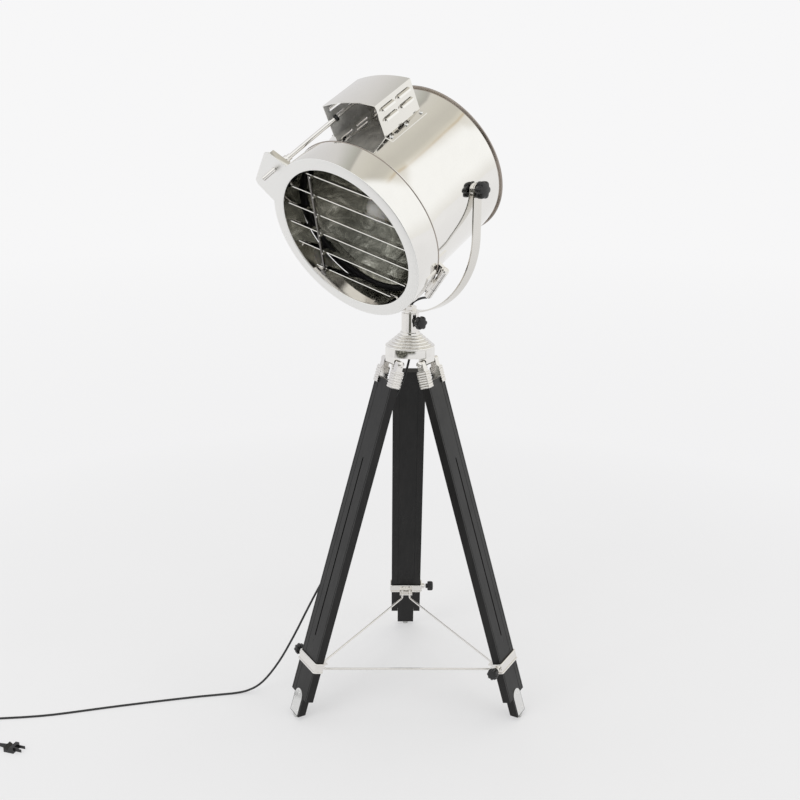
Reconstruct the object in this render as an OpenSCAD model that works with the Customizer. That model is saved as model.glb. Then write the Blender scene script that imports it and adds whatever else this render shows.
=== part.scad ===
// Tripod spotlight floor lamp: a polished drum head in a flat-bar yoke on three sliding wooden legs.
// Millimetres, +Z up, the origin is the centre of the box around the lamp, on the floor.
// The head looks toward -X and -Y and down; drum sizes run along the drum axis (s), 0 at the tilt axis.

/* [Head position] */
// Compass angle the drum faces
pan_angle = 228; // [222:1:234]
// How far the drum looks below the horizontal
tilt_angle = 28; // [22:1:31]
// Rise of the drum centreline over the tilt axis
axis_rise = 8; // [4:0.5:12]

/* [Drum] */
// Radius of the drum shell
drum_radius = 168; // [166:0.25:169]
// Thickness of the drum shell
drum_wall = 1.5; // [1:0.1:2]
// Length of the shell behind the tilt axis
drum_back = 85; // [75:1:90]
// Length of the shell ahead of the tilt axis
drum_front = 153; // [149:1:155]
// Width of the raised flange at the front of the shell
flange_width = 5; // [3:0.5:7]
// Height of the raised flange over the shell
flange_step = 7; // [4:0.5:8]
// Radius of the wire rolled into the rear bead
bead_wire = 3; // [2:0.25:3.5]

/* [Door] */
// How far the door ring stands out from the shell
door_step = 12; // [10:0.5:14]
// Depth of the door ring
door_depth = 67; // [63:1:70]
// Width of the flat face round the door opening
door_lip = 25; // [23:0.5:28]
// Thickness of the sheet the door is pressed from
door_wall = 1.5; // [1:0.1:2]
// Width of the ear plate where it leaves the ring
ear_width = 116; // [100:1:124]
// Reach of the ear past the door ring
ear_rise = 44; // [36:1:50]
// Height of the folded edges of the ear
ear_fold = 13; // [8:0.5:18]

/* [Shutter] */
// Part of the opening that the row of slats leaves free
slat_margin = 32.4; // [30.6:0.1:36]
// Gap between two slats when they are shut
slat_gap = 2.6; // [1.6:0.1:6]
// Thickness of the slat sheet
slat_thick = 1.4; // [1:0.1:1.8]
// Angle of the slats from fully open
slat_angle = 38; // [30:1:45]
// Turn of the slat pack about the drum axis
slat_turn = 17; // [14:0.5:20]
// Diameter of the slat pivot pins
slat_pin_diameter = 4; // [3:0.25:5]
// Distance of the link bar from the middle of the slats
link_offset = 70; // [64:1:72]
// Width of the link bar
link_width = 4; // [3:0.25:5]

/* [Hood] */
// Half the width of the vent hood
hood_half_width = 70; // [66:0.5:72]
// Height of the hood side walls over the drum
hood_side_rise = 50; // [46:1:54]
// Rise of the hood crown over its side walls
hood_crown_rise = 8; // [6:0.5:14]
// Front end of the hood
hood_front = 92; // [86:1:98]
// Length of the hood
hood_length = 112; // [108:1:118]
// Thickness of the hood sheet
hood_wall = 1.5; // [1:0.1:2]
// Length of a louvre slot
louvre_length = 36; // [28:1:40]
// Height of a louvre slot
louvre_height = 8; // [6:0.5:9]

/* [Yoke] */
// Room between the drum and the yoke
yoke_room = 3; // [2.8:0.1:5]
// Thickness of the yoke bar
yoke_thick = 3; // [2.5:0.1:4]
// Width of the yoke bar
yoke_width = 25; // [22:0.5:28]
// Depth of the bend centre below the tilt axis
yoke_drop = 92; // [88:0.5:100]
// Diameter of the tilt pivot studs
stud_diameter = 8; // [6:0.25:10]
// Diameter of the two tilt knobs and the pan knob
knob_diameter = 37; // [34:0.5:39]
// Thickness of the tilt knobs
knob_thick = 15; // [12:0.5:18]

/* [Post and bell] */
// Diameter of the post tube
post_diameter = 38; // [36:0.5:42]
// Diameter of the swivel stem of the yoke
stem_diameter = 24; // [22:0.25:26]
// Height of the post top over the bell
post_rise = 41; // [38:0.5:44]
// Height of the collar between the post and the yoke
stem_collar = 3.35; // [2.5:0.05:5]
// Height of the bell top over the leg pivots
bell_rise = 62; // [60:0.5:66]
// How far the lowest ridge of the bell reaches past the leg pivots
bell_lap = 8.3; // [7:0.1:11]
// Height of one bell ridge
ridge_height = 7.6; // [6.8:0.1:8]
// Thickness of the bell metal
bell_wall = 2.2; // [1.6:0.1:3]
// Diameter of the pan clamping screw
pan_screw_diameter = 8; // [6:0.25:9]

/* [Legs] */
// Radius of the circle of the leg pivots
pivot_circle = 43.7; // [42:0.1:46]
// Lean of a leg from the vertical
leg_lean = 17.2; // [16.6:0.1:17.8]
// Width of a whole leg
leg_width = 74; // [70:1:78]
// Thickness of a leg
leg_thick = 18; // [16:0.5:20]
// Width of the sliding middle of a leg
slide_width = 41.4; // [38:0.2:44]
// Length of the fixed side rails
rail_length = 740; // [700:1:745]
// Height of the foot end of the side rails along the leg
rail_start = 54; // [48:1:60]
// Diameter of the leg pivot bolts
pivot_diameter = 6; // [5:0.25:7]
// Height of the clamp bands along the leg
clamp_height = 136; // [125:1:150]
// Width of a clamp band
clamp_width = 18; // [14:0.5:22]
// Thickness of a clamp band
clamp_thick = 2; // [1.5:0.1:2.5]
// Diameter of a clamp knob
clamp_knob_diameter = 25; // [22:0.5:28]
// Diameter of the brace rods
brace_diameter = 5; // [4:0.25:6]
// Distance of the brace eyes in from the foot circle
brace_inset = 64; // [62:0.5:68]
// Diameter of the foot pads
pad_diameter = 14; // [12:0.5:16]
// Height of the foot pads
pad_height = 9; // [8:0.5:11]

/* [Fits] */
// Radial clearance of turning and sliding fits
run_clearance = 0.1; // [0.06:0.01:0.15]
// Gap between pieces that move past one another
part_gap = 0.3; // [0.25:0.05:0.5]

/* [Hidden] */
eps = 0.01;
door_s = drum_front + 3;
front_s = door_s + door_depth;
flange_radius = drum_radius + flange_step;
door_radius = drum_radius + door_step;
opening_radius = door_radius - door_lip;
ear_reach = door_radius + ear_rise;
// the leg pivot in leg coordinates, in the middle of the leg thickness
rail_end = rail_start + rail_length;
pivot_w = rail_end + 41;
pivot_x = -leg_thick/2;
pivot_z = pivot_x*sin(leg_lean) + pivot_w*cos(leg_lean);
leg_face = pivot_circle - pivot_x*cos(leg_lean) + pivot_w*sin(leg_lean);
pad_inset = 9.2;
foot_circle = leg_face - pad_inset;
brace_radius = foot_circle - brace_inset;
// the box around the lamp without its cord, used to centre it
ear_top = ear_width - 13;
ear_foot = sqrt(door_radius*door_radius - ear_width*ear_width/4) - 4;
ear_nn = -(ear_top/2 + ear_reach - 8)*sqrt(0.5);
ear_up = (ear_reach + 8 - ear_top/2)*sqrt(0.5);
low_x = (front_s*cos(tilt_angle) + (ear_up + axis_rise)*sin(tilt_angle))*cos(pan_angle) - ear_nn*sin(pan_angle);
high_x = (foot_circle + 9 - pad_height*tan(leg_lean))*cos(30) + slide_width/4;
low_y = (front_s*cos(tilt_angle) + axis_rise*sin(tilt_angle))*sin(pan_angle)
  - door_radius*sqrt(pow(cos(pan_angle), 2) + pow(sin(tilt_angle)*sin(pan_angle), 2));
high_y = foot_circle + pad_diameter/2;
shift_x = -(low_x + high_x)/2;
shift_y = -(low_y + high_y)/2;
leg_az = [90, 210, 330];
rail_width = (leg_width - slide_width)/2 - part_gap;
slide_recess = part_gap;
tongue = 5;
tongue_reach = 3.6;
ferrule_wall = 1.4;
// heights of the column
bell_top = pivot_z + bell_rise;
bell_diameter = 2*(pivot_circle + bell_lap);
bell_neck = bell_top - 14;
bell_low = bell_top - 5*ridge_height - 7;
bell_skirt = bell_low - 10;
post_height = bell_top + post_rise;
yoke_inner = drum_radius + yoke_room;
yoke_outer = yoke_inner + yoke_thick;
yoke_flat = sqrt(yoke_outer*yoke_outer - 15*15);
strip_low = post_height + part_gap + stem_collar;
strip_top = strip_low + yoke_thick;
tilt_axis_height = strip_low + yoke_drop + yoke_flat;
bore_r = stem_diameter/2 + run_clearance;
pan_z = post_height - knob_diameter/2 + 1;
pan_dir = -50;
rail_mid = slide_width/2 + part_gap + rail_width/2;
pad_x = -pad_inset;
plate_holes = [[-11, 20], [11, 20], [0, 58]];
lug_y = leg_width/2 + clamp_thick;
brace_z = clamp_height - 10;
eye_side = 9;
// inner face of the clamp band at the height of the eye plate
clamp_back = leg_face - (brace_z - brace_diameter/2 - 5)*tan(leg_lean) - (leg_thick + clamp_thick/2)/cos(leg_lean);
bend_r = 6;
hood_back = hood_front - hood_length;
hood_side_top = drum_radius + hood_side_rise;
hood_crown = hood_side_top + hood_crown_rise;
hood_screw_s = [for (k = [0:2]) hood_front - 8 - k*(hood_length - 16)/2];
hood_screw_angle = asin((hood_half_width + 7)/drum_radius);
ear_tip = atan(6.5/(ear_reach - 8 - ear_foot));
lug_v_up = 0.2;
// the slat pack
slat_count = 6;
slat_reach = opening_radius + 1;
slat_pitch = (2*slat_reach - slat_margin)/slat_count;
slat_width = slat_pitch - slat_gap;
slat_s = front_s - 4 - slat_width/2;
pack_shift = -6.3;
ring_in = slat_reach + 1.4;
ring_out = ring_in + 2.4;
ring_back = slat_s - slat_width/2 - 5;
spacer_top = sqrt(pow(door_radius - door_wall, 2) - 25);
lug_u = slat_width/2 + 4;
lug_v = 4;
function slat_e(i) = (i - 2.5)*slat_pitch + pack_shift;
function slat_half(e) = sqrt(slat_reach*slat_reach - e*e);
bar_s = slat_s + lug_u*cos(slat_angle) + lug_v*sin(slat_angle);
bar_e = lug_u*sin(slat_angle) - lug_v*cos(slat_angle);
// the door hinge, opposite the ear
hinge_dir = -45;
hinge_s = drum_front - 2;
hinge_r = door_radius + 8.3;
knuckle = 8;
hinge_pin_r = 3;
// the latch rod, skewed from the ear into the hood mouth
rod_a = [front_s, -(door_radius + 14)*sin(39), (door_radius + 14)*cos(39)];
rod_b = [hood_front - 12.7, 17 - hood_half_width, drum_radius + 21.3];
rod_reach = norm(rod_a - rod_b);
rod_dir = (rod_a - rod_b)/rod_reach;
rod_diameter = 6.5;
// hood arc
hood_drop = hood_crown - hood_side_top;
hood_arc = (hood_half_width*hood_half_width + hood_drop*hood_drop)/(2*hood_drop);
hood_arc_z = hood_crown - hood_arc;
// the reflector is a paraboloid from the socket to its rim behind the door
dish_s = 31;
dish_rim = drum_front - 22.5;
dish_r = drum_radius - drum_wall - 12;
focus = dish_r*dish_r/(4*(dish_rim - dish_s));
// cord
cord_r = 2.5;
gland_s = 118;
gland_dir = -72;

module nickel() color([0.78, 0.77, 0.75]) children();
module wood() color([0.16, 0.15, 0.15]) children();
module black() color([0.08, 0.08, 0.09]) children();

// ---- frames ----
module tower() translate([shift_x, shift_y, 0]) children();
module leg(i) tower() rotate([0, 0, leg_az[i]]) translate([leg_face, 0, 0]) rotate([0, -leg_lean, 0])
  children();
// X along the horizontal look of the head, Y along the tilt axis, at the height of the tilt axis
module yoke_frame() tower() translate([0, 0, tilt_axis_height]) rotate([0, 0, pan_angle]) children();
// X along the drum axis to the front, Y along the tilt axis, Z up square to both
module drum_frame() yoke_frame() rotate([0, tilt_angle, 0]) translate([0, 0, axis_rise]) children();
// a ring or disc about the drum axis from s0 to s1
module drum_disc(s0, s1, r) translate([s0, 0, 0]) rotate([0, 90, 0]) cylinder(h = s1 - s0, r = r, $fn = 96);
module drum_ring(s0, s1, r0, r1) difference() {
  drum_disc(s0, s1, r1);
  drum_disc(s0 - 1, s1 + 1, r0);
}
module slat_frame() rotate([-slat_turn, 0, 0]) children();

// ---- knobs: a lobed grip on a shank, along +Z with the grip face away from the part ----
module knob(d, h, shank_d, shank_l) {
  difference() {
    cylinder(h = h, d = d - 5, $fn = 48);
    translate([0, 0, -1]) cylinder(h = 3, d = d*0.55, $fn = 40);
  }
  for (i = [0:5]) rotate([0, 0, i*60]) translate([d/2 - 5.5, 0, 0]) cylinder(h = h - 1.5, d = 11, $fn = 32);
  translate([0, 0, h - eps]) cylinder(h = 1.6, d1 = d - 7, d2 = d - 15, $fn = 48);
  translate([0, 0, -shank_l]) cylinder(h = shank_l + 4, d = shank_d, $fn = 32);
}

// ---- column ----
module bell_profile() {
  steps = 5;
  top_r = post_diameter/2 + 3;
  low_r = bell_diameter/2;
  rise = (low_r - top_r)/steps;
  difference() {
    union() {
      translate([0, bell_neck]) square([top_r, bell_top - bell_neck - 3]);
      translate([0, bell_top - 4]) square([top_r - 1.2, 4]);
      for (i = [0:steps - 1])
        translate([0, bell_top - 7 - (i + 1)*ridge_height]) {
          square([top_r + (i + 1)*rise - 1.6, ridge_height]);
          square([top_r + (i + 1)*rise, ridge_height - 2.6]);
        }
      translate([0, bell_skirt]) square([low_r - 1, bell_low - bell_skirt + 1]);
    }
    for (i = [1:steps - 1])
      translate([-1, bell_top - 7 - (i + 1)*ridge_height - 2.4])
        square([top_r + i*rise - bell_wall + 1 - 1.6, ridge_height]);
    translate([-1, bell_skirt - 1]) square([low_r - bell_wall - 1, bell_low - bell_skirt + 4]);
  }
}
module bell() nickel() tower() difference() {
  union() {
    rotate_extrude($fn = 96) bell_profile();
    for (a = leg_az) rotate([0, 0, a]) difference() {
      union() {
        translate([pivot_circle - 7, -slide_width/2 + 1.5, pivot_z]) cube([14, slide_width - 3, bell_low + 1 - pivot_z]);
        translate([pivot_circle, -slide_width/2 + 1.5, pivot_z]) rotate([-90, 0, 0])
          cylinder(h = slide_width - 3, r = 7, $fn = 40);
      }
      translate([pivot_circle, -40, pivot_z]) rotate([-90, 0, 0])
        cylinder(h = 80, r = pivot_diameter/2 + 0.05, $fn = 32);
    }
  }
  // seat of the post tube, then a smaller way through for the cord
  translate([0, 0, bell_top - 10]) cylinder(h = 20, d = post_diameter, $fn = 64);
  translate([0, 0, bell_skirt]) cylinder(h = 90, r = 6.5, $fn = 40);
}
module post_tube() nickel() tower() difference() {
  translate([0, 0, bell_top - 10]) cylinder(h = post_height - bell_top + 10, d = post_diameter, $fn = 64);
  translate([0, 0, bell_top - 11]) cylinder(h = 80, r = bore_r, $fn = 64);
  translate([0, 0, pan_z]) rotate([0, 0, pan_dir]) rotate([0, 90, 0])
    cylinder(h = 60, r = pan_screw_diameter/2 + run_clearance, $fn = 32);
}
module pan_knob() black() tower() translate([0, 0, pan_z]) rotate([0, 0, pan_dir])
  translate([post_diameter/2 + 9, 0, 0]) rotate([0, 90, 0])
    knob(knob_diameter - 3, knob_thick, pan_screw_diameter,
      post_diameter/2 + 9 - bore_r - 0.4);
module strain_relief() black() tower() difference() {
  union() {
    translate([0, 0, bell_neck - 26]) cylinder(h = 24, r1 = 4.2, r2 = 6.5, $fn = 40);
    translate([0, 0, bell_neck - 2]) cylinder(h = 5, r = 6.5, $fn = 40);
  }
  translate([0, 0, bell_neck - 30]) cylinder(h = 40, r = cord_r + 0.05, $fn = 32);
}
module leg_bolts() nickel() for (i = [0:2]) leg(i) translate([pivot_x, 0, pivot_w]) rotate([90, 0, 0]) {
  cylinder(h = leg_width + 4, d = pivot_diameter, center = true, $fn = 32);
  for (m = [-1, 1]) scale([1, 1, m]) translate([0, 0, leg_width/2 - 1]) {
    cylinder(h = 3, r = 6.5, $fn = 40);
    translate([0, 0, 3]) cylinder(h = 2, r1 = 6.5, r2 = 3.5, $fn = 40);
  }
}

// ---- legs ----
module rail_pair(i) leg(i) for (m = [-1, 1]) scale([1, m, 1]) difference() {
  translate([-leg_thick, slide_width/2 + part_gap, rail_start]) cube([leg_thick, rail_width, rail_length]);
  // groove for the tongue of the slide
  translate([-leg_thick/2 - tongue/2 - part_gap, slide_width/2, rail_start - 1])
    cube([tongue + 2*part_gap, tongue_reach + 2*part_gap, rail_length + 2]);
  // bead line near the outer edge
  translate([-1, leg_width/2 - 4.6, rail_start - 1]) cube([2, 1.2, rail_length + 2]);
}
module slide(i) wood() leg(i) difference() {
  union() {
    translate([-leg_thick + slide_recess, -slide_width/2, 0])
      cube([leg_thick - 2*slide_recess, slide_width, rail_end]);
    for (m = [-1, 1]) scale([1, m, 1]) translate([-leg_thick/2 - tongue/2, slide_width/2 - 1, rail_start + 6])
      cube([tongue, tongue_reach + 1, rail_end - rail_start - 6.5]);
  }
  // level cut at the foot
  rotate([0, leg_lean, 0]) translate([-60, -40, -50]) cube([120, 80, 50 + pad_height]);
  // groove down the face, with round ends
  translate([-slide_recess - 2, -2, 200]) cube([4, 4, 414]);
  for (w = [200, 614]) translate([-slide_recess - 2, 0, w]) rotate([0, 90, 0]) cylinder(h = 4, r = 2, $fn = 24);
  // hole of the guide stud
  translate([-leg_thick - 1, 0, 186]) rotate([0, 90, 0]) cylinder(h = leg_thick + 3, r = 2.05, $fn = 24);
  // holes of the foot plate screws
  for (p = plate_holes) translate([-12, p[0], p[1]]) rotate([0, 90, 0]) cylinder(h = 14, r = 1.8, $fn = 24);
  // socket of the foot pad
  rotate([0, leg_lean, 0]) translate([pad_x, 0, 0]) cylinder(h = pad_height + 14.1, r = 2.5, $fn = 24);
}
module foot_plate(i) nickel() leg(i) difference() {
  union() {
    translate([-slide_recess, -17, 12]) cube([1.6, 34, 40]);
    translate([-slide_recess, 0, 52]) rotate([0, 90, 0]) cylinder(h = 1.6, r = 17, $fn = 48);
  }
  for (p = plate_holes) translate([-1, p[0], p[1]]) rotate([0, 90, 0]) cylinder(h = 4, r = 1.85, $fn = 24);
}
module foot_screws(i) nickel() leg(i) {
  for (p = plate_holes) translate([0, p[0], p[1]]) rotate([0, 90, 0]) {
    translate([0, 0, -11]) cylinder(h = 13, r = 1.75, $fn = 24);
    translate([0, 0, 1.6 - slide_recess]) cylinder(h = 1.4, r1 = 3.6, r2 = 2.2, $fn = 32);
  }
  translate([-leg_thick + 1, 0, 186]) rotate([0, 90, 0]) cylinder(h = leg_thick - 1.6, r = 2, $fn = 24);
}
module foot_pad(i) black() leg(i) rotate([0, leg_lean, 0]) translate([pad_x, 0, 0]) {
  cylinder(h = 2, d1 = pad_diameter - 2, d2 = pad_diameter, $fn = 48);
  translate([0, 0, 2]) cylinder(h = pad_height - 2, d = pad_diameter, $fn = 48);
  translate([0, 0, pad_height - 1]) cylinder(h = 14, r = 2.45, $fn = 24);
}
module ferrule_pair(i) leg(i) for (m = [-1, 1]) scale([1, m, 1]) difference() {
  union() {
    translate([-leg_thick - ferrule_wall, rail_mid - rail_width/2, rail_end - 12])
      cube([leg_thick + 2*ferrule_wall, rail_width + ferrule_wall, 38]);
    for (k = [0:4]) translate([-leg_thick - ferrule_wall - 1, rail_mid - rail_width/2, rail_end - 9 + k*7])
      cube([leg_thick + 2*ferrule_wall + 2, rail_width + ferrule_wall + 1, 3.4]);
    translate([-leg_thick/2 - 7, rail_mid - rail_width/2 + 1, rail_end + 20]) cube([14, rail_width - 2, 21]);
    translate([pivot_x, rail_mid, pivot_w]) rotate([90, 0, 0]) cylinder(h = rail_width - 2, r = 7, center = true, $fn = 40);
  }
  // pocket over the rail end
  translate([-leg_thick, rail_mid - rail_width/2, rail_end - 20]) cube([leg_thick, rail_width, 20]);
  translate([-leg_thick/2 - tongue/2 - part_gap, slide_width/2 - 2, rail_end - 20])
    cube([tongue + 2*part_gap, tongue_reach + 2 + part_gap, 20]);
  translate([pivot_x, rail_mid, pivot_w]) rotate([90, 0, 0])
    cylinder(h = rail_width + 6, r = pivot_diameter/2 + 0.05, center = true, $fn = 32);
}

// ---- clamps and brace ----
module clamp(i) {
  leg(i) difference() {
    union() {
      translate([-leg_thick - clamp_thick, -leg_width/2 - clamp_thick, clamp_height - clamp_width/2])
        cube([leg_thick + 2*clamp_thick, leg_width + 2*clamp_thick, clamp_width]);
      // boss of the clamp screw
      translate([-leg_thick/2, -lug_y - 9, clamp_height]) rotate([-90, 0, 0]) cylinder(h = 10, r = 7, $fn = 40);
    }
    translate([-leg_thick, -leg_width/2, clamp_height - clamp_width]) cube([leg_thick, leg_width, 2*clamp_width]);
    translate([-leg_thick/2, -lug_y - 20, clamp_height]) rotate([-90, 0, 0])
      cylinder(h = 30, r = 3 + run_clearance, $fn = 32);
  }
  // eye plate behind the leg for the brace rods
  tower() rotate([0, 0, leg_az[i]]) difference() {
    translate([brace_radius - 8, -eye_side - 7, brace_z - brace_diameter/2 - 7.5])
      cube([clamp_back - brace_radius + 8, 2*eye_side + 14, 2.5]);
    for (m = [-1, 1]) translate([brace_radius, m*eye_side, brace_z - 30])
      cylinder(h = 40, r = brace_diameter/2 + 0.1, $fn = 32);
  }
}
module clamp_knob(i) black() leg(i) translate([-leg_thick/2, -lug_y - 9 - 3, clamp_height]) rotate([90, 0, 0]) {
  cylinder(h = 5, d = 12, $fn = 40);
  translate([0, 0, 5]) difference() {
    cylinder(h = 14, d = clamp_knob_diameter, $fn = 48);
    for (k = [0:7]) rotate([0, 0, k*45]) translate([clamp_knob_diameter/2 + 2, 0, -1]) cylinder(h = 16, r = 4, $fn = 24);
  }
  translate([0, 0, -11.6]) cylinder(h = 14, r = 3, $fn = 32);
}
// one rod: a straight run with both ends bent down into the eyes
module brace(i) {
  a0 = leg_az[i];
  a1 = leg_az[(i + 1)%3];
  p0 = [brace_radius*cos(a0) - eye_side*sin(a0), brace_radius*sin(a0) + eye_side*cos(a0)];
  p1 = [brace_radius*cos(a1) + eye_side*sin(a1), brace_radius*sin(a1) - eye_side*cos(a1)];
  d = p1 - p0;
  translate([p0[0], p0[1], brace_z]) rotate([0, 0, atan2(d[1], d[0])]) {
    translate([bend_r, 0, 0]) rotate([0, 90, 0]) cylinder(h = norm(d) - 2*bend_r, d = brace_diameter, $fn = 24);
    translate([bend_r, 0, -bend_r]) rotate([90, 0, 0]) rotate([0, 0, 90])
      rotate_extrude(angle = 90, $fn = 48) translate([bend_r, 0]) circle(d = brace_diameter, $fn = 24);
    translate([0, 0, -bend_r - 14]) cylinder(h = 14, d = brace_diameter, $fn = 24);
    translate([norm(d) - bend_r, 0, -bend_r]) rotate([90, 0, 0])
      rotate_extrude(angle = 90, $fn = 48) translate([bend_r, 0]) circle(d = brace_diameter, $fn = 24);
    translate([norm(d), 0, -bend_r - 14]) cylinder(h = 14, d = brace_diameter, $fn = 24);
  }
}
module brace_rods() nickel() tower() for (i = [0:2]) brace(i);

// ---- yoke ----
module yoke_bar() nickel() yoke_frame() difference() {
  union() {
    intersection() {
      difference() {
        translate([-yoke_width/2, 0, -yoke_drop]) rotate([0, 90, 0]) cylinder(h = yoke_width, r = yoke_outer, $fn = 120);
        translate([-yoke_width, 0, -yoke_drop]) rotate([0, 90, 0]) cylinder(h = 3*yoke_width, r = yoke_inner, $fn = 120);
      }
      translate([-50, -200, -yoke_drop - yoke_flat]) cube([100, 400, yoke_flat]);
    }
    translate([-yoke_width/2, -15.5, -yoke_drop - yoke_flat]) cube([yoke_width, 31, yoke_thick]);
    for (m = [-1, 1]) scale([1, m, 1]) {
      translate([-yoke_width/2, yoke_inner, -yoke_drop]) cube([yoke_width, yoke_thick, yoke_drop]);
      translate([0, yoke_inner, 0]) rotate([-90, 0, 0]) cylinder(h = yoke_thick, d = yoke_width, $fn = 64);
    }
  }
  for (m = [-1, 1]) scale([1, m, 1]) translate([0, yoke_inner - 1, 0]) rotate([-90, 0, 0])
    cylinder(h = 8, r = stud_diameter/2 + run_clearance, $fn = 40);
  translate([0, 0, -yoke_drop - yoke_flat - 1]) cylinder(h = 10, d = 14, $fn = 40);
}
module yoke_stem() nickel() tower() difference() {
  union() {
    translate([0, 0, bell_top - 8]) cylinder(h = post_height + part_gap - bell_top + 8, d = stem_diameter, $fn = 64);
    translate([0, 0, post_height + part_gap]) cylinder(h = strip_low - post_height - part_gap, d = 28, $fn = 64);
    translate([0, 0, strip_low - 1]) cylinder(h = yoke_thick + 12, d = 14, $fn = 40);
  }
  translate([0, 0, bell_top - 20]) cylinder(h = 120, r = cord_r + 1.5, $fn = 40);
  // mouth for the cord
  translate([0, 0, strip_top + 4]) cylinder(h = 7.1, r1 = cord_r + 1.5, r2 = 6.6, $fn = 40);
}
module yoke_nut() nickel() tower() translate([0, 0, strip_top]) rotate([0, 0, pan_angle]) difference() {
  cylinder(h = 8, r = 13.8, $fn = 6);
  translate([0, 0, -1]) cylinder(h = 10, d = 14, $fn = 40);
}
module tilt_knob(m) black() yoke_frame() scale([1, m, 1]) translate([0, yoke_outer + 4, 0])
  rotate([-90, 0, 0]) {
    knob(knob_diameter, knob_thick, stud_diameter, 24);
    translate([0, 0, -3.5]) cylinder(h = 4, d = 18, $fn = 40);
  }

// ---- drum ----
module drum_shell() nickel() drum_frame() difference() {
  union() {
    drum_ring(-drum_back, drum_front, drum_radius - drum_wall, drum_radius);
    drum_ring(drum_front - flange_width, drum_front, drum_radius - 1, flange_radius);
    translate([-drum_back, 0, 0]) rotate([0, 90, 0]) rotate_extrude($fn = 96)
      translate([drum_radius + bead_wire - 1.2, 0]) circle(r = bead_wire, $fn = 24);
  }
  // air way into the hood
  for (k = [-1:1]) translate([hood_back + 11, k*34 - 13, drum_radius - 20]) cube([hood_length - 22, 26, 40]);
  // trunnion holes
  for (m = [-1, 1]) scale([1, m, 1]) translate([0, drum_radius - 16, -axis_rise]) rotate([-90, 0, 0])
    cylinder(h = 30, r = 9, $fn = 40);
  // hood screws
  for (m = [-1, 1], s = hood_screw_s) translate([s, 0, 0]) rotate([-m*hood_screw_angle, 0, 0])
    translate([0, 0, drum_radius - 5]) cylinder(h = 10, r = 2, $fn = 24);
  // gland hole
  gland_at() translate([0, 0, -20]) cylinder(h = 40, r = 6.1, $fn = 40);
}
module gland_at() translate([gland_s, 0, 0]) rotate([-90 + gland_dir, 0, 0]) translate([0, 0, drum_radius]) children();
module rear_cover() nickel() drum_frame() translate([-drum_back, 0, 0]) rotate([0, -90, 0])
  rotate_extrude($fn = 96) difference() {
    union() {
      translate([0, -2]) square([drum_radius - drum_wall - 0.2, 2]);
      translate([drum_radius - drum_wall - 2, -14]) square([1.8, 13]);
      translate([0, -1]) square([110, 7]);
      translate([0, 5]) square([70, 5]);
    }
    translate([-1, -20]) square([109.5 - 1, 24.5]);
    translate([-1, 3]) square([69.5 - 1, 5.5]);
  }
module trunnion_bushes() nickel() drum_frame() for (m = [-1, 1]) scale([1, m, 1])
  translate([0, 0, -axis_rise]) rotate([-90, 0, 0]) difference() {
    union() {
      translate([0, 0, drum_radius]) cylinder(h = yoke_inner - part_gap - drum_radius, r = 14, $fn = 48);
      translate([0, 0, drum_radius - 20]) cylinder(h = 22, r = 8.95, $fn = 40);
    }
    translate([0, 0, drum_radius - 25]) cylinder(h = 40, r = stud_diameter/2 + run_clearance, $fn = 40);
  }
module hinge_frame() rotate([hinge_dir - 90, 0, 0]) children();
// a strap bent round the drum axis, its middle at the hinge
module hinge_strap(s0, s1, r, t, half) rotate([0, 90, 0]) rotate([0, 0, -hinge_dir - half])
  rotate_extrude(angle = 2*half, $fn = 96) translate([r, s0]) square([t, s1 - s0]);
module drum_hinge_leaf() nickel() drum_frame() difference() {
  union() {
    hinge_strap(drum_front - 41, drum_front - flange_width - 0.5, drum_radius, 2.4, 17);
    difference() {
      for (m = [-1, 1]) hinge_frame() scale([1, m, 1])
        translate([drum_front - flange_width - 7, 16.5, drum_radius - 12]) cube([6, 29, hinge_r - drum_radius + 12]);
      drum_disc(drum_front - 60, drum_front + 1, drum_radius + 0.8);
    }
    for (m = [-1, 1]) hinge_frame() scale([1, m, 1]) translate([hinge_s, 16.5, hinge_r]) rotate([-90, 0, 0])
      cylinder(h = 32.5, r = knuckle, $fn = 40);
  }
  hinge_frame() translate([hinge_s, -80, hinge_r]) rotate([-90, 0, 0]) cylinder(h = 160, r = hinge_pin_r, $fn = 32);
}
module door_hinge_leaf() nickel() drum_frame() difference() {
  union() {
    hinge_strap(hinge_s + 10, hinge_s + 40, door_radius, 2.4, 14);
    hinge_frame() {
      translate([hinge_s + 3, -15.8, hinge_r - 6.5]) cube([15, 31.6, 5]);
      translate([hinge_s, -15.8, hinge_r]) rotate([-90, 0, 0]) cylinder(h = 31.6, r = knuckle, $fn = 40);
    }
  }
  hinge_frame() translate([hinge_s, -80, hinge_r]) rotate([-90, 0, 0])
    cylinder(h = 160, r = hinge_pin_r + run_clearance, $fn = 32);
}
module hinge_pin() nickel() drum_frame() hinge_frame() translate([hinge_s, 0, hinge_r]) rotate([90, 0, 0]) {
  cylinder(h = 98, r = hinge_pin_r, center = true, $fn = 32);
  for (m = [-1, 1]) scale([1, 1, m]) translate([0, 0, 49]) cylinder(h = 2.5, r1 = 7, r2 = 4.5, $fn = 32);
}

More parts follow.
